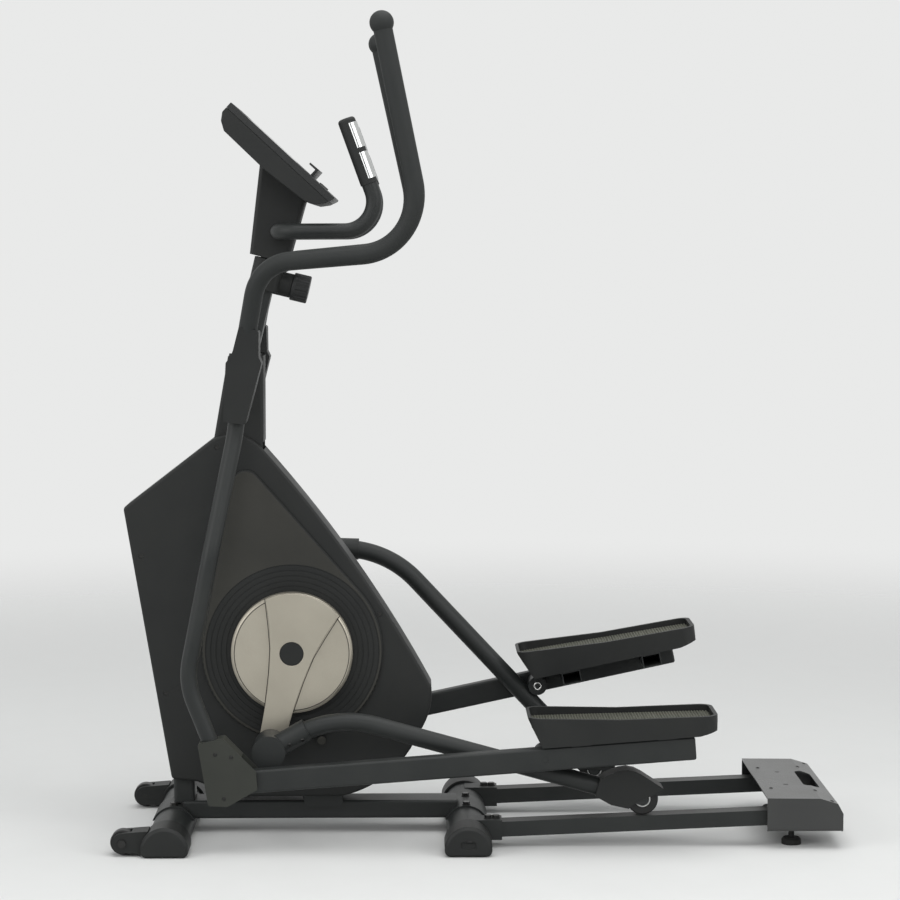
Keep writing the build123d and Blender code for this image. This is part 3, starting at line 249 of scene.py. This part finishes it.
def skin_of(name):
    """A search tree over the faces of a CAD node, to seat small pieces on."""
    mesh = nodes[name].data
    points = [vertex.co.copy() for vertex in mesh.vertices]
    return BVHTree.FromPolygons(points, [list(face.vertices) for face in mesh.polygons])


def seated(skin, start, aim):
    """The point of the skin and its outward direction, found along an aim."""
    point, outward, *_ = skin.ray_cast(Vector(start), Vector(aim))
    return point, outward


def seated_from_side(skin, sign, places):
    """The same for (x, z) places, looking inwards from the left or the right."""
    return [seated(skin, (x, sign, z), (0, -sign, 0)) for x, z in places]


def finished(tree, result, label, geometry, finish):
    """Ends a tree with real faces in place of instances, in their finish."""
    solid = added(tree, "GeometryNodeRealizeInstances", {"Geometry": geometry}).outputs["Geometry"]
    paint = added(tree, "GeometryNodeSetMaterial", {"Geometry": solid, "Material": finish})
    fed(tree, result, {label: paint.outputs["Geometry"]})


def grown(piece, tree, inputs):
    """Runs a tree on a piece, with its inputs by name, and keeps the result as the piece's plain mesh."""
    step = piece.modifiers.new(tree.name, "NODES")
    step.node_group = tree
    keys = {item.name: item.identifier for item in tree.interface.items_tree if item.in_out == "INPUT"}
    for label, value in inputs.items():
        step[keys[label]] = value
    settle(piece)


def seam_tree():
    """Geometry nodes: a thin round bead along every edge path, for seams, rings and slot rims."""
    tree = bpy.data.node_groups.new("seam_beads", "GeometryNodeTree")
    inputs = {"Path": "Geometry", "Bead Radius": "Float", "Finish": "Material"}
    given, result = declared(tree, inputs, {"Beads": "Geometry"})
    line = added(tree, "GeometryNodeMeshToCurve", {"Mesh": given["Path"]}).outputs["Curve"]
    bead = {"Resolution": 8, "Radius": given["Bead Radius"]}
    section = added(tree, "GeometryNodeCurvePrimitiveCircle", bead).outputs["Curve"]
    swept = {"Curve": line, "Profile Curve": section, "Fill Caps": True}
    sweep = added(tree, "GeometryNodeCurveToMesh", swept).outputs["Mesh"]
    finished(tree, result, "Beads", sweep, given["Finish"])
    return tree


SEAMS = seam_tree()


def seams(name, body, radius, paths, finish):
    """Beads along (points, closed) paths, one mesh for one body."""
    points, edges = [], []
    for path, closed in paths:
        first = len(points)
        points += path
        edges += [(first + i, first + i + 1) for i in range(len(path) - 1)]
        if closed:
            edges.append((len(points) - 1, first))
    mesh = bpy.data.meshes.new(name)
    mesh.from_pydata(points, edges, [])
    piece = placed(name, mesh)
    grown(piece, SEAMS, {"Bead Radius": radius, "Finish": finish})
    smoothed(piece, crisp_from=60)
    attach(piece, body)


CAP_EASE = 0.0012
shell_plastic = finish_of(
    "shell_plastic", dark=(0.009, 0.010, 0.010), light=(0.018, 0.019, 0.018),
    rough=(0.46, 0.60), grain=1400.0, depth=0.0003, dust_and_sheen=0.04,
)
for cap in ("front_caps", "mid_caps"):
    eased(cap, CAP_EASE, shell_plastic)
wheel_nylon = finish_of(
    "wheel_nylon", dark=(0.008, 0.008, 0.008), light=(0.018, 0.018, 0.018),
    rough=(0.35, 0.5), grain=600.0, depth=0.0002,
)
coated(wheel_nylon, "left_transport_wheel", "right_transport_wheel")

SLOT_HALF, SLOT_HIGH = 0.0078, 0.0036
SLOT_REARWARD, SLOT_Z = 0.002, 0.0325
SLOT_BEAD = 0.0011
TAB_POINTS, TAB_BEAD = (-0.004, 0.0, 0.005), 0.0022
cap_low, cap_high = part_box("mid_caps")
slot_x = (cap_low.x + cap_high.x) / 2 + SLOT_REARWARD
CORNERS = ((-1, -1), (1, -1), (1, 1), (-1, 1))
slot_corners = [(slot_x + u * SLOT_HALF, SLOT_Z + v * SLOT_HIGH) for u, v in CORNERS]
tab_points = [(slot_x + u, SLOT_Z) for u in TAB_POINTS]
cap_skin = skin_of("mid_caps")
slot_rims, slot_tabs = [], []
for sign in SIDES.values():
    slot_rims.append(([point for point, _ in seated_from_side(cap_skin, sign, slot_corners)], True))
    slot_tabs.append(([point for point, _ in seated_from_side(cap_skin, sign, tab_points)], False))
seams("mid_cap_slots", "frame", SLOT_BEAD, slot_rims, wheel_nylon)
seams("mid_cap_slot_tabs", "frame", TAB_BEAD, slot_tabs, wheel_nylon)


# Rails: two inclined square steel tubes in sockets on the mid stabiliser, powder coated like the frame.
# The coat is rubbed lighter along the middle, where the rollers run.
RAIL_MIDDLE = 0.160
TRACK_EDGE, TRACK_CORE, TRACK_WEAR = 0.016, 0.011, 0.5
TRACK_GREY = (0.11, 0.11, 0.105, 1)
STREAK_STRETCH = (6.0, 500.0, 1.0)


def rail_coat():
    """The frame's coat with a rubbed, streaky track along the middle of each rail."""
    material = powder_coat.copy()
    material.name = "rail_coat"
    tree = material.node_tree
    place = added(tree, "ShaderNodeTexCoord").outputs["Object"]
    sideways = added(tree, "ShaderNodeSeparateXYZ", {"Vector": place}).outputs["Y"]
    away = worked(tree, "SUBTRACT", worked(tree, "ABSOLUTE", sideways), RAIL_MIDDLE)
    track = ramp(tree, worked(tree, "ABSOLUTE", away), TRACK_EDGE, TRACK_CORE, high=TRACK_WEAR)
    stretch = added(tree, "ShaderNodeMapping", {"Vector": place, "Scale": STREAK_STRETCH}).outputs["Vector"]
    streak = added(tree, "ShaderNodeTexNoise", {"Vector": stretch, "Scale": 1.0}).outputs["Fac"]
    rubbed = worked(tree, "MULTIPLY", track, streak)
    lighter = mixed(tree, rubbed, tree.nodes["Grain"].outputs["Color"], TRACK_GREY)
    fed(tree, tree.nodes["Principled BSDF"], {"Base Color": lighter})
    return material


coated(rail_coat(), "rails")


# Bolts and screws: steel, darkened as painted shade of the recesses the screws sit in. Hexagon bolts hold the
# stabilisers and the rails, and short bolts carry the wheels. Small socket-head screws, each seated on its own
# face, hold the moulded covers.
# The dark tone of this steel is painted shade of the screw recesses, and it falls on every bolt.
bolt_steel = finish_of(
    "bolt_steel", dark=(0.018, 0.018, 0.018), light=(0.05, 0.05, 0.048),
    rough=(0.28, 0.42), grain=700.0, depth=0.0001, metallic=0.7,
)
coated(bolt_steel, "fasteners")
HEAD_TOP, SOCKET_WIDTH, SOCKET_LIFT = 0.78, 0.48, 0.95


def screw_tree():
    """Geometry nodes: a screw head with a hexagonal socket on every point, along the point's own aim."""
    tree = bpy.data.node_groups.new("screw_heads", "GeometryNodeTree")
    inputs = {"Spots": "Geometry", "Head Radius": "Float", "Head Height": "Float", "Finish": "Material"}
    given, result = declared(tree, inputs, {"Screws": "Geometry"})
    radius, height = given["Head Radius"], given["Head Height"]
    top = worked(tree, "MULTIPLY", radius, HEAD_TOP)
    cone = {"Vertices": 20, "Radius Top": top, "Radius Bottom": radius, "Depth": height}
    head = added(tree, "GeometryNodeMeshCone", cone).outputs["Mesh"]
    hexagon = {"Vertices": 6, "Radius": worked(tree, "MULTIPLY", radius, SOCKET_WIDTH), "Depth": height}
    socket = added(tree, "GeometryNodeMeshCylinder", hexagon).outputs["Mesh"]
    raised = added(tree, "ShaderNodeCombineXYZ", {"Z": worked(tree, "MULTIPLY", height, SOCKET_LIFT)})
    lift = {"Geometry": socket, "Translation": raised.outputs["Vector"]}
    lifted = added(tree, "GeometryNodeTransform", lift).outputs["Geometry"]
    cut = added(tree, "GeometryNodeMeshBoolean", {"Mesh 1": head, "Mesh 2": lifted}, operation="DIFFERENCE")
    aim = added(tree, "GeometryNodeInputNamedAttribute", {"Name": "aim"}, data_type="FLOAT_VECTOR")
    turn = added(tree, "FunctionNodeAlignRotationToVector", {"Vector": aim.outputs["Attribute"]}, axis="Z")
    spots = {"Points": given["Spots"], "Instance": cut.outputs["Mesh"], "Rotation": turn.outputs["Rotation"]}
    spread = added(tree, "GeometryNodeInstanceOnPoints", spots).outputs["Instances"]
    finished(tree, result, "Screws", spread, given["Finish"])
    return tree


SCREWS = screw_tree()


def screws(name, body, radius, height, spots):
    """Screw heads at (point, aim) spots, one mesh for one body."""
    mesh = bpy.data.meshes.new(name)
    mesh.from_pydata([point for point, aim in spots], [], [])
    aims = mesh.attributes.new("aim", "FLOAT_VECTOR", "POINT")
    for item, (point, aim) in zip(aims.data, spots):
        item.vector = aim
    piece = placed(name, mesh)
    grown(piece, SCREWS, {"Head Radius": radius, "Head Height": height, "Finish": bolt_steel})
    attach(piece, body)


# Rear cover and levelling feet: a moulded cover with a grip slot, pushed over the rear cross tube and held
# by screws. It is smoother than the other mouldings, and its top faces are painted lighter, partly as a little
# dust and partly as painted sheen. Rubber feet screw in below.
rear_plastic = finish_of(
    "rear_plastic", dark=(0.013, 0.014, 0.014), light=(0.022, 0.023, 0.022),
    rough=(0.27, 0.37), grain=1300.0, depth=0.0002, dust_and_sheen=0.10, shine=0.65,
)
coated(rear_plastic, "rear_cover")
foot_rubber = finish_of(
    "foot_rubber", dark=(0.008, 0.008, 0.008), light=(0.016, 0.016, 0.015),
    rough=(0.6, 0.75), grain=500.0, depth=0.0003,
)
coated(foot_rubber, "left_levelling_foot", "right_levelling_foot")
COVER_SPOTS = ((0.608, 0.1038), (0.697, 0.122), (0.7205, 0.1918))
COVER_HEAD_RADIUS, COVER_HEAD_HEIGHT = 0.0042, 0.0012
cover_skin = skin_of("rear_cover")
cover_screws = []
for x, y in COVER_SPOTS:
    cover_screws += [seated(cover_skin, (x, sign * y, 1), (0, 0, -1)) for sign in SIDES.values()]
screws("rear_cover_screws", "frame", COVER_HEAD_RADIUS, COVER_HEAD_HEIGHT, cover_screws)


# Drive inside the casing: a turned steel crank axle in two bearings, a moulded pulley, a rubber belt, a
# cast iron flywheel and its magnet bracket, all carried by the drive plates. The swing axle and the pins
# of the pedal beams are turned from the same steel.
steel = finish_of(
    "steel", dark=(0.42, 0.42, 0.42), light=(0.58, 0.58, 0.57),
    rough=(0.25, 0.38), grain=500.0, depth=0.0001, metallic=1.0,
)
flywheel_iron = finish_of(
    "flywheel_iron", dark=(0.10, 0.10, 0.10), light=(0.2, 0.2, 0.2),
    rough=(0.4, 0.55), grain=400.0, depth=0.0002, metallic=0.9,
)
belt_rubber = finish_of(
    "belt_rubber", dark=(0.010, 0.010, 0.010), light=(0.02, 0.02, 0.02),
    rough=(0.6, 0.7), grain=900.0, depth=0.0002,
)
coated(steel, "crank_axle", "crank_bearings", "magnet_bracket")
coated(steel, "swing_axle", "left_beam_pin", "right_beam_pin")
coated(flywheel_iron, "flywheel")
coated(belt_rubber, "drive_belt")
coated(shell_plastic, "drive_pulley")


# Casing: two deep moulded shells screwed together round the drive. A smoother panel is raised on each, with fine
# rings round the crank disc. The panel's lighter, warmer tone is painted reflection.
pivots = {joint["name"]: Vector(joint["pos_m"]) for joint in frame["joints"] if "pos_m" in joint}
CRANK = pivots["crank_spin"]
CASING_EASE = 0.0015
PANEL_FACE = 0.0605
RING_ZONE = 0.183
# The panel's lighter, warmer colour is painted reflection; only its lower roughness is the panel's own.
panel_painted_reflection = finish_of(
    "panel_painted_reflection", dark=(0.024, 0.024, 0.021), light=(0.038, 0.037, 0.032),
    rough=(0.40, 0.52), grain=1600.0, depth=0.00015,
)
# The panel's faces stand out past PANEL_FACE and reach beyond the rings, and take the panel's painted reflection.
for side in SIDES:
    shell = eased(side + "_casing", CASING_EASE, shell_plastic, panel_painted_reflection)
    corners = [Vector((vertex.co.x - CRANK.x, vertex.co.z - CRANK.z)) for vertex in shell.data.vertices]
    for face in shell.data.polygons:
        reach = max(corners[i].length for i in face.vertices)
        if abs(face.center.y) > PANEL_FACE and reach > RING_ZONE:
            face.material_index = 1


# Crank discs and arms: satin champagne-silver mouldings over the steel crank, each with an eased rim,
# a black centre cap pressed in, and an arm cover set off by two curved seams.
RING_SCALE, RING_STRENGTH = 1600.0, 0.25
IN_PLANE = (1, 0, 1)


def silver_finish():
    """Satin silver with very fine rings brushed round the crank axle."""
    material = finish_of(
        "crank_silver", dark=(0.34, 0.315, 0.26), light=(0.43, 0.40, 0.335),
        rough=(0.30, 0.40), grain=700.0, depth=0.0001, metallic=0.75, shine=0.5,
    )
    tree = material.node_tree
    place = added(tree, "ShaderNodeTexCoord").outputs["Object"]
    spoke = added(tree, "ShaderNodeVectorMath", {0: place, 1: CRANK}, operation="SUBTRACT")
    sides = {0: spoke.outputs["Vector"], 1: IN_PLANE}
    flat = added(tree, "ShaderNodeVectorMath", sides, operation="MULTIPLY").outputs["Vector"]
    reach = added(tree, "ShaderNodeVectorMath", {0: flat}, operation="LENGTH").outputs["Value"]
    brushed = {"W": reach, "Scale": RING_SCALE, "Detail": 3.0}
    ring = added(tree, "ShaderNodeTexNoise", brushed, noise_dimensions="1D").outputs["Fac"]
    fed(tree, tree.nodes["Bump"], {"Height": ring, "Strength": RING_STRENGTH})
    return material


def ring_path(centre, radius, count=40):
    """A closed circle round an axle that lies along Y."""
    turns = [2 * pi * i / count for i in range(count)]
    return [(centre[0] + radius * cos(t), centre[1], centre[2] + radius * sin(t)) for t in turns], True


DISC_EASE, CENTRE_EASE = 0.0018, 0.0012
crank_silver = silver_finish()
for name in ("crank_discs", "crank_arms"):
    eased(name, DISC_EASE, crank_silver)
eased("crank_caps", CENTRE_EASE, shell_plastic)

ARM_EDGE = (
    (0.079, 0.0977), (0.0605, 0.045), (0.0463, 0.0), (0.0375, -0.052), (0.0318, -0.105), (0.0305, -0.118),
)
ARM_LEAN = {"left": radians(-13), "right": radians(167)}
DISC_FACE, RIM_LINE, RIM_POINTS = 0.0924, 0.1185, 96
CRANK_BEAD = 0.0007
crank_lines = []
for side, sign in SIDES.items():
    along, across = cos(ARM_LEAN[side]), sin(ARM_LEAN[side])
    for hand in (-1, 1):
        edge = [(hand * u * along - v * across, hand * u * across + v * along) for u, v in ARM_EDGE]
        crank_lines.append(([(CRANK.x + u, sign * DISC_FACE, CRANK.z + v) for u, v in edge], False))
    crank_lines.append(ring_path((CRANK.x, sign * DISC_FACE, CRANK.z), RIM_LINE, RIM_POINTS))
seams("crank_lines", "crank", CRANK_BEAD, crank_lines, wheel_nylon)


# Mast and tension unit: a coated steel tube clamped in the upright, a moulded boot over the joint, a
# tension housing with a fluted plastic knob, and the moulded neck that carries the console.
MAST_EASE, KNOB_EASE, NECK_EASE = 0.0015, 0.0006, 0.002
coated(powder_coat, "mast")
eased("mast_boot", MAST_EASE, shell_plastic)
eased("tension_housing", MAST_EASE, shell_plastic)
knob_plastic = finish_of(
    "knob_plastic", dark=(0.014, 0.015, 0.015), light=(0.028, 0.029, 0.029),
    rough=(0.36, 0.48), grain=900.0, depth=0.0002, dust_and_sheen=0.03,
)
eased("tension_knob", KNOB_EASE, knob_plastic)
eased("console_neck", NECK_EASE, shell_plastic)


# Console: a moulded back shell and front frame clipped together, a smoked window, two round keys and a
# narrow ledge. The window is glossy, the rest has a matt grain.
CONSOLE_EASE = 0.002
eased("console_back", CONSOLE_EASE, shell_plastic)
eased("console_frame", CONSOLE_EASE, knob_plastic)
window_smoke = finish_of(
    "window_smoke", dark=(0.006, 0.007, 0.008), light=(0.010, 0.012, 0.013),
    rough=(0.05, 0.09), grain=300.0, depth=0.00001,
)
coated(window_smoke, "display_lens")
key_plastic = finish_of(
    "key_plastic", dark=(0.10, 0.10, 0.10), light=(0.16, 0.16, 0.155),
    rough=(0.35, 0.45), grain=1200.0, depth=0.0002,
)
coated(key_plastic, "left_key", "right_key")


# Pulse handlebar: one bent steel tube through the neck, powder coated, with a moulded grip on each end and
# two bright plated contact plates let into the rear of each grip.
GRIP_EASE, PLATE_EASE = 0.0008, 0.0005
coated(powder_coat, "pulse_handlebar")
grip_plastic = finish_of(
    "grip_plastic", dark=(0.010, 0.011, 0.011), light=(0.022, 0.023, 0.022),
    rough=(0.5, 0.62), grain=1100.0, depth=0.0004,
)
eased("pulse_grips", GRIP_EASE, grip_plastic)
contact_plate = finish_of(
    "contact_plate", dark=(0.50, 0.51, 0.51), light=(0.60, 0.61, 0.60),
    rough=(0.14, 0.24), grain=400.0, depth=0.00005, metallic=1.0,
)
eased("pulse_sensors", PLATE_EASE, contact_plate)


# Swing arms and handles: bent steel tubes hung on the swing axle. The handles have a soft-touch coat and a
# ball end, a moulded sleeve hides the pivot, and moulded cheeks held by screws hide the lower joint.
SLEEVE_EASE, SLEEVE_STEPS, CHEEK_EASE = 0.006, 4, 0.002
handle_coat = finish_of(
    "handle_coat", dark=(0.013, 0.015, 0.015), light=(0.026, 0.028, 0.027),
    rough=(0.52, 0.66), grain=1300.0, depth=0.0005, dust_and_sheen=0.02,
)
cheek_plastic = finish_of(
    "cheek_plastic", dark=(0.023, 0.025, 0.021), light=(0.037, 0.039, 0.033),
    rough=(0.48, 0.60), grain=1300.0, depth=0.0003, dust_and_sheen=0.03,
)
for side in SIDES:
    coated(powder_coat, side + "_swing_arm")
    coated(handle_coat, side + "_swing_handle")
    eased(side + "_pivot_cover", SLEEVE_EASE, shell_plastic, steps=SLEEVE_STEPS)
    eased(side + "_joint_cover", CHEEK_EASE, cheek_plastic)
CHEEK_SPOTS = ((-0.0171, 0.0622), (0.0150, 0.0570), (0.0004, -0.0277))
CHEEK_HEAD_RADIUS, CHEEK_HEAD_HEIGHT = 0.0040, 0.0012
for side, sign in SIDES.items():
    pin = pivots[side + "_pin_turn"]
    places = [(pin.x + u, pin.z + v) for u, v in CHEEK_SPOTS]
    spots = seated_from_side(skin_of(side + "_joint_cover"), sign, places)
    screws(side + "_joint_screws", side + "_swing", CHEEK_HEAD_RADIUS, CHEEK_HEAD_HEIGHT, spots)


# Pedal beams, pedals and pads: coated rectangular tubes with moulded trays bolted on top, deeper at the
# toe, and a dark olive rubber pad with fine cross ribs lying in each tray.
def rib_tree():
    """Geometry nodes: a row of round ribs laid across a pad and joined to it."""
    tree = bpy.data.node_groups.new("pad_ribs", "GeometryNodeTree")
    inputs = {
        "Pad": "Geometry", "Ribs": "Int", "First Rib": "Vector", "Rib Step": "Vector",
        "Rib Radius": "Float", "Rib Length": "Float", "Finish": "Material",
    }
    given, result = declared(tree, inputs, {"Ribbed Pad": "Geometry"})
    line = {"Count": given["Ribs"], "Start Location": given["First Rib"], "Offset": given["Rib Step"]}
    row = added(tree, "GeometryNodeMeshLine", line).outputs["Mesh"]
    bar = {"Vertices": 10, "Radius": given["Rib Radius"], "Depth": given["Rib Length"]}
    rib = added(tree, "GeometryNodeMeshCylinder", bar).outputs["Mesh"]
    across = added(tree, "GeometryNodeTransform", {"Geometry": rib, "Rotation": (pi / 2, 0, 0)})
    spots = {"Points": row, "Instance": across.outputs["Geometry"]}
    spread = added(tree, "GeometryNodeInstanceOnPoints", spots).outputs["Instances"]
    both = added(tree, "GeometryNodeJoinGeometry", {"Geometry": given["Pad"]})
    fed(tree, both, {"Geometry": spread})
    finished(tree, result, "Ribbed Pad", both.outputs["Geometry"], given["Finish"])
    return tree


RIBS = rib_tree()
RIB_COUNT, RIB_RADIUS, RIB_LENGTH, RIB_SINK = 62, 0.0019, 0.124, 0.0002
PAD_FRONT, PAD_REAR, PAD_MIDDLE = 0.634, 0.994, 0.160
PAD_TOP, PAD_FALL, PAD_ZERO = 0.069, 0.047, 0.621


def beam_tilt(side):
    along = pivots[side + "_arm_turn"] - pivots[side + "_pin_turn"]
    return atan2(along.z, along.x)


def on_beam(side, along, up):
    """A point of the beam's own plane, seen in the machine's frame as x and z."""
    tilt, pin = beam_tilt(side), pivots[side + "_pin_turn"]
    return pin.x + along * cos(tilt) - up * sin(tilt), pin.z + along * sin(tilt) + up * cos(tilt)


def pad_height(along):
    return PAD_TOP - (along - PAD_ZERO) * PAD_FALL


def ribbed_pad(side, sign):
    """The pad's flat body with a row of fine ribs in place of the coarse ones."""
    piece = merged_copy(side + "_pedal_pad")
    tilt, pin = beam_tilt(side), pivots[side + "_pin_turn"]
    for vertex in piece.data.vertices:
        x, z = vertex.co.x - pin.x, vertex.co.z - pin.z
        along, up = x * cos(tilt) + z * sin(tilt), z * cos(tilt) - x * sin(tilt)
        vertex.co.x, vertex.co.z = on_beam(side, along, min(up, pad_height(along)))
    second = PAD_FRONT + (PAD_REAR - PAD_FRONT) / (RIB_COUNT - 1)
    x0, z0 = on_beam(side, PAD_FRONT, pad_height(PAD_FRONT) - RIB_SINK)
    x1, z1 = on_beam(side, second, pad_height(second) - RIB_SINK)
    sizes = {
        "Ribs": RIB_COUNT, "First Rib": (x0, sign * PAD_MIDDLE, z0), "Rib Step": (x1 - x0, 0.0, z1 - z0),
        "Rib Radius": RIB_RADIUS, "Rib Length": RIB_LENGTH, "Finish": pad_rubber,
    }
    grown(piece, RIBS, sizes)
    smoothed(piece, crisp_from=50)
    stand_in(piece, side + "_pedal_pad", pad_rubber)


BEAM_EASE, TRAY_EASE, TRAY_STEPS = 0.001, 0.002, 3
# The pads' level faces get the most of the lighter grey that is partly dust and partly painted sheen.
pad_rubber = finish_of(
    "pad_rubber", dark=(0.060, 0.062, 0.048), light=(0.105, 0.106, 0.084),
    rough=(0.62, 0.78), grain=800.0, depth=0.0004, dust_and_sheen=0.12,
)
for side, sign in SIDES.items():
    eased(side + "_pedal_beam", BEAM_EASE, powder_coat)
    eased(side + "_pedal", TRAY_EASE, shell_plastic, steps=TRAY_STEPS)
    ribbed_pad(side, sign)


# Roller arms: bent steel tubes from the crank pin to the roller, powder coated, with a moulded teardrop
# cover over each roller. The rollers are hard nylon with a bright hub ring on a plain axle. A bright bush
# closes each pedal pivot, and two screws clamp the socket behind the crank boss.
ROLLER_COVER_EASE = 0.0015
for side in SIDES:
    coated(powder_coat, side + "_roller_arm")
    eased(side + "_roller_cover", ROLLER_COVER_EASE, shell_plastic)
    coated(wheel_nylon, side + "_roller")
bright_steel = finish_of(
    "bright_steel", dark=(0.62, 0.62, 0.61), light=(0.74, 0.74, 0.73),
    rough=(0.22, 0.34), grain=500.0, depth=0.0001, metallic=1.0, shine=0.5,
)
BUSH_FACE, BUSH_RADIUS, BUSH_BEAD = 0.1386, 0.0072, 0.0019
HUB_FACE, HUB_RADIUS, HUB_BEAD = 0.0153, 0.0145, 0.0016
CLAMP_HEAD_RADIUS, CLAMP_HEAD_HEIGHT = 0.0042, 0.002
CRANK_PIN = Vector((0.0439, 0, 0.190))
CLAMP_TURN, CLAMP_REACHES = radians(21), (0.046, 0.074)


def clamp_places(side, sign):
    """Two places on the socket behind the crank boss, as x and z in the machine's frame."""
    pin, pedal = CRANK + sign * CRANK_PIN, pivots[side + "_arm_turn"]
    toward = atan2(pedal.z - pin.z, pedal.x - pin.x) + CLAMP_TURN
    return [(pin.x + reach * cos(toward), pin.z + reach * sin(toward)) for reach in CLAMP_REACHES]


for side, sign in SIDES.items():
    pedal, axle = pivots[side + "_arm_turn"], pivots[side + "_roller_spin"]
    bush = ring_path((pedal.x, sign * BUSH_FACE, pedal.z), BUSH_RADIUS)
    seams(side + "_pivot_bush", side + "_arm", BUSH_BEAD, [bush], bright_steel)
    hubs = [ring_path((axle.x, axle.y + face, axle.z), HUB_RADIUS) for face in (-HUB_FACE, HUB_FACE)]
    seams(side + "_roller_hub", side + "_roller", HUB_BEAD, hubs, bright_steel)
    clamp = seated_from_side(skin_of(side + "_roller_arm"), sign, clamp_places(side, sign))
    screws(side + "_clamp_screws", side + "_arm", CLAMP_HEAD_RADIUS, CLAMP_HEAD_HEIGHT, clamp)


# Studio: a pale paper floor that fades into an even pale backdrop, broad soft lamps and a long lens.
# The backdrop is what the camera and shiny surfaces see. The lamps light the machine.
FLOOR_RADIUS, FADE_FROM, FADE_TO = 6.0, 1.3, 5.5
AIR_LIGHT, AIR_STRENGTH = (0.90, 0.92, 0.93, 1), 0.42
BACKDROP = (0.815, 0.82, 0.815, 1)


def studio_paper():
    """Paper that thins out to nothing away from the machine, so that no edge of the floor shows."""
    material = finish_of(
        "studio_paper", dark=(0.70, 0.705, 0.695), light=(0.72, 0.725, 0.715),
        rough=(0.7, 0.8), grain=40.0, depth=0.0,
    )
    tree = material.node_tree
    place = added(tree, "ShaderNodeTexCoord").outputs["Object"]
    reach = added(tree, "ShaderNodeVectorMath", {0: place}, operation="LENGTH").outputs["Value"]
    fade = ramp(tree, reach, FADE_FROM, FADE_TO, low=1.0, high=0.0, interpolation_type="SMOOTHSTEP")
    fed(tree, tree.nodes["Principled BSDF"], {"Alpha": fade})
    return material


def studio_floor():
    mesh = bpy.data.meshes.new("studio_floor")
    work = bmesh.new()
    bmesh.ops.create_circle(work, cap_ends=True, radius=FLOOR_RADIUS, segments=96)
    work.to_mesh(mesh)
    work.free()
    floor = placed("studio_floor", mesh)
    floor.data.materials.append(studio_paper())


def studio_air():
    """Soft light from all round, and an even pale backdrop for the camera and for reflections."""
    air = bpy.data.worlds.new("studio_air")
    air.use_nodes = True
    tree = air.node_tree
    light = fed(tree, tree.nodes["Background"], {"Color": AIR_LIGHT, "Strength": AIR_STRENGTH})
    backdrop = added(tree, "ShaderNodeBackground", {"Color": BACKDROP, "Strength": 1.0})
    ray = added(tree, "ShaderNodeLightPath").outputs
    seen = worked(tree, "MAXIMUM", ray["Is Camera Ray"], ray["Is Glossy Ray"])
    shown = worked(tree, "MAXIMUM", seen, ray["Is Transmission Ray"])
    ways = {"Fac": shown, 1: light.outputs["Background"], 2: backdrop.outputs["Background"]}
    choose = added(tree, "ShaderNodeMixShader", ways)
    fed(tree, tree.nodes["World Output"], {"Surface": choose.outputs["Shader"]})
    return air


def soft_lamp(name, place, target, size, power):
    lamp = bpy.data.lights.new(name, "AREA")
    lamp.shape = "RECTANGLE"
    lamp.size, lamp.size_y = size
    lamp.energy = power
    holder = placed(name, lamp)
    holder.location = place
    holder.rotation_euler = (Vector(target) - Vector(place)).to_track_quat("-Z", "Y").to_euler()


studio_floor()
soft_lamp("overhead", place=(0.3, -0.6, 4.6), target=(0.0, 0.0, 0.6), size=(4.5, 4.0), power=140)
soft_lamp("left_side", place=(-4.2, -2.6, 2.4), target=(0.0, 0.0, 0.8), size=(3.0, 3.0), power=84)
soft_lamp("right_side", place=(4.2, -3.2, 2.8), target=(0.1, 0.0, 0.7), size=(3.0, 3.0), power=84)
soft_lamp("front", place=(0.2, -6.4, 3.4), target=(0.0, 0.0, 0.7), size=(4.0, 2.5), power=76)
bpy.context.scene.world = studio_air()

CAMERA_DROP, CAMERA_TURN = 4.49, -0.85
camera = placed("photo_view", bpy.data.cameras.new("photo_view"))
camera.data.lens = 102.72
camera.data.sensor_width = 36.0
camera.location = (-0.136, -5.35, 1.222)
camera.rotation_euler = (radians(90 - CAMERA_DROP), 0, radians(CAMERA_TURN))
bpy.context.scene.camera = camera
bpy.context.scene.view_settings.view_transform = "Standard"
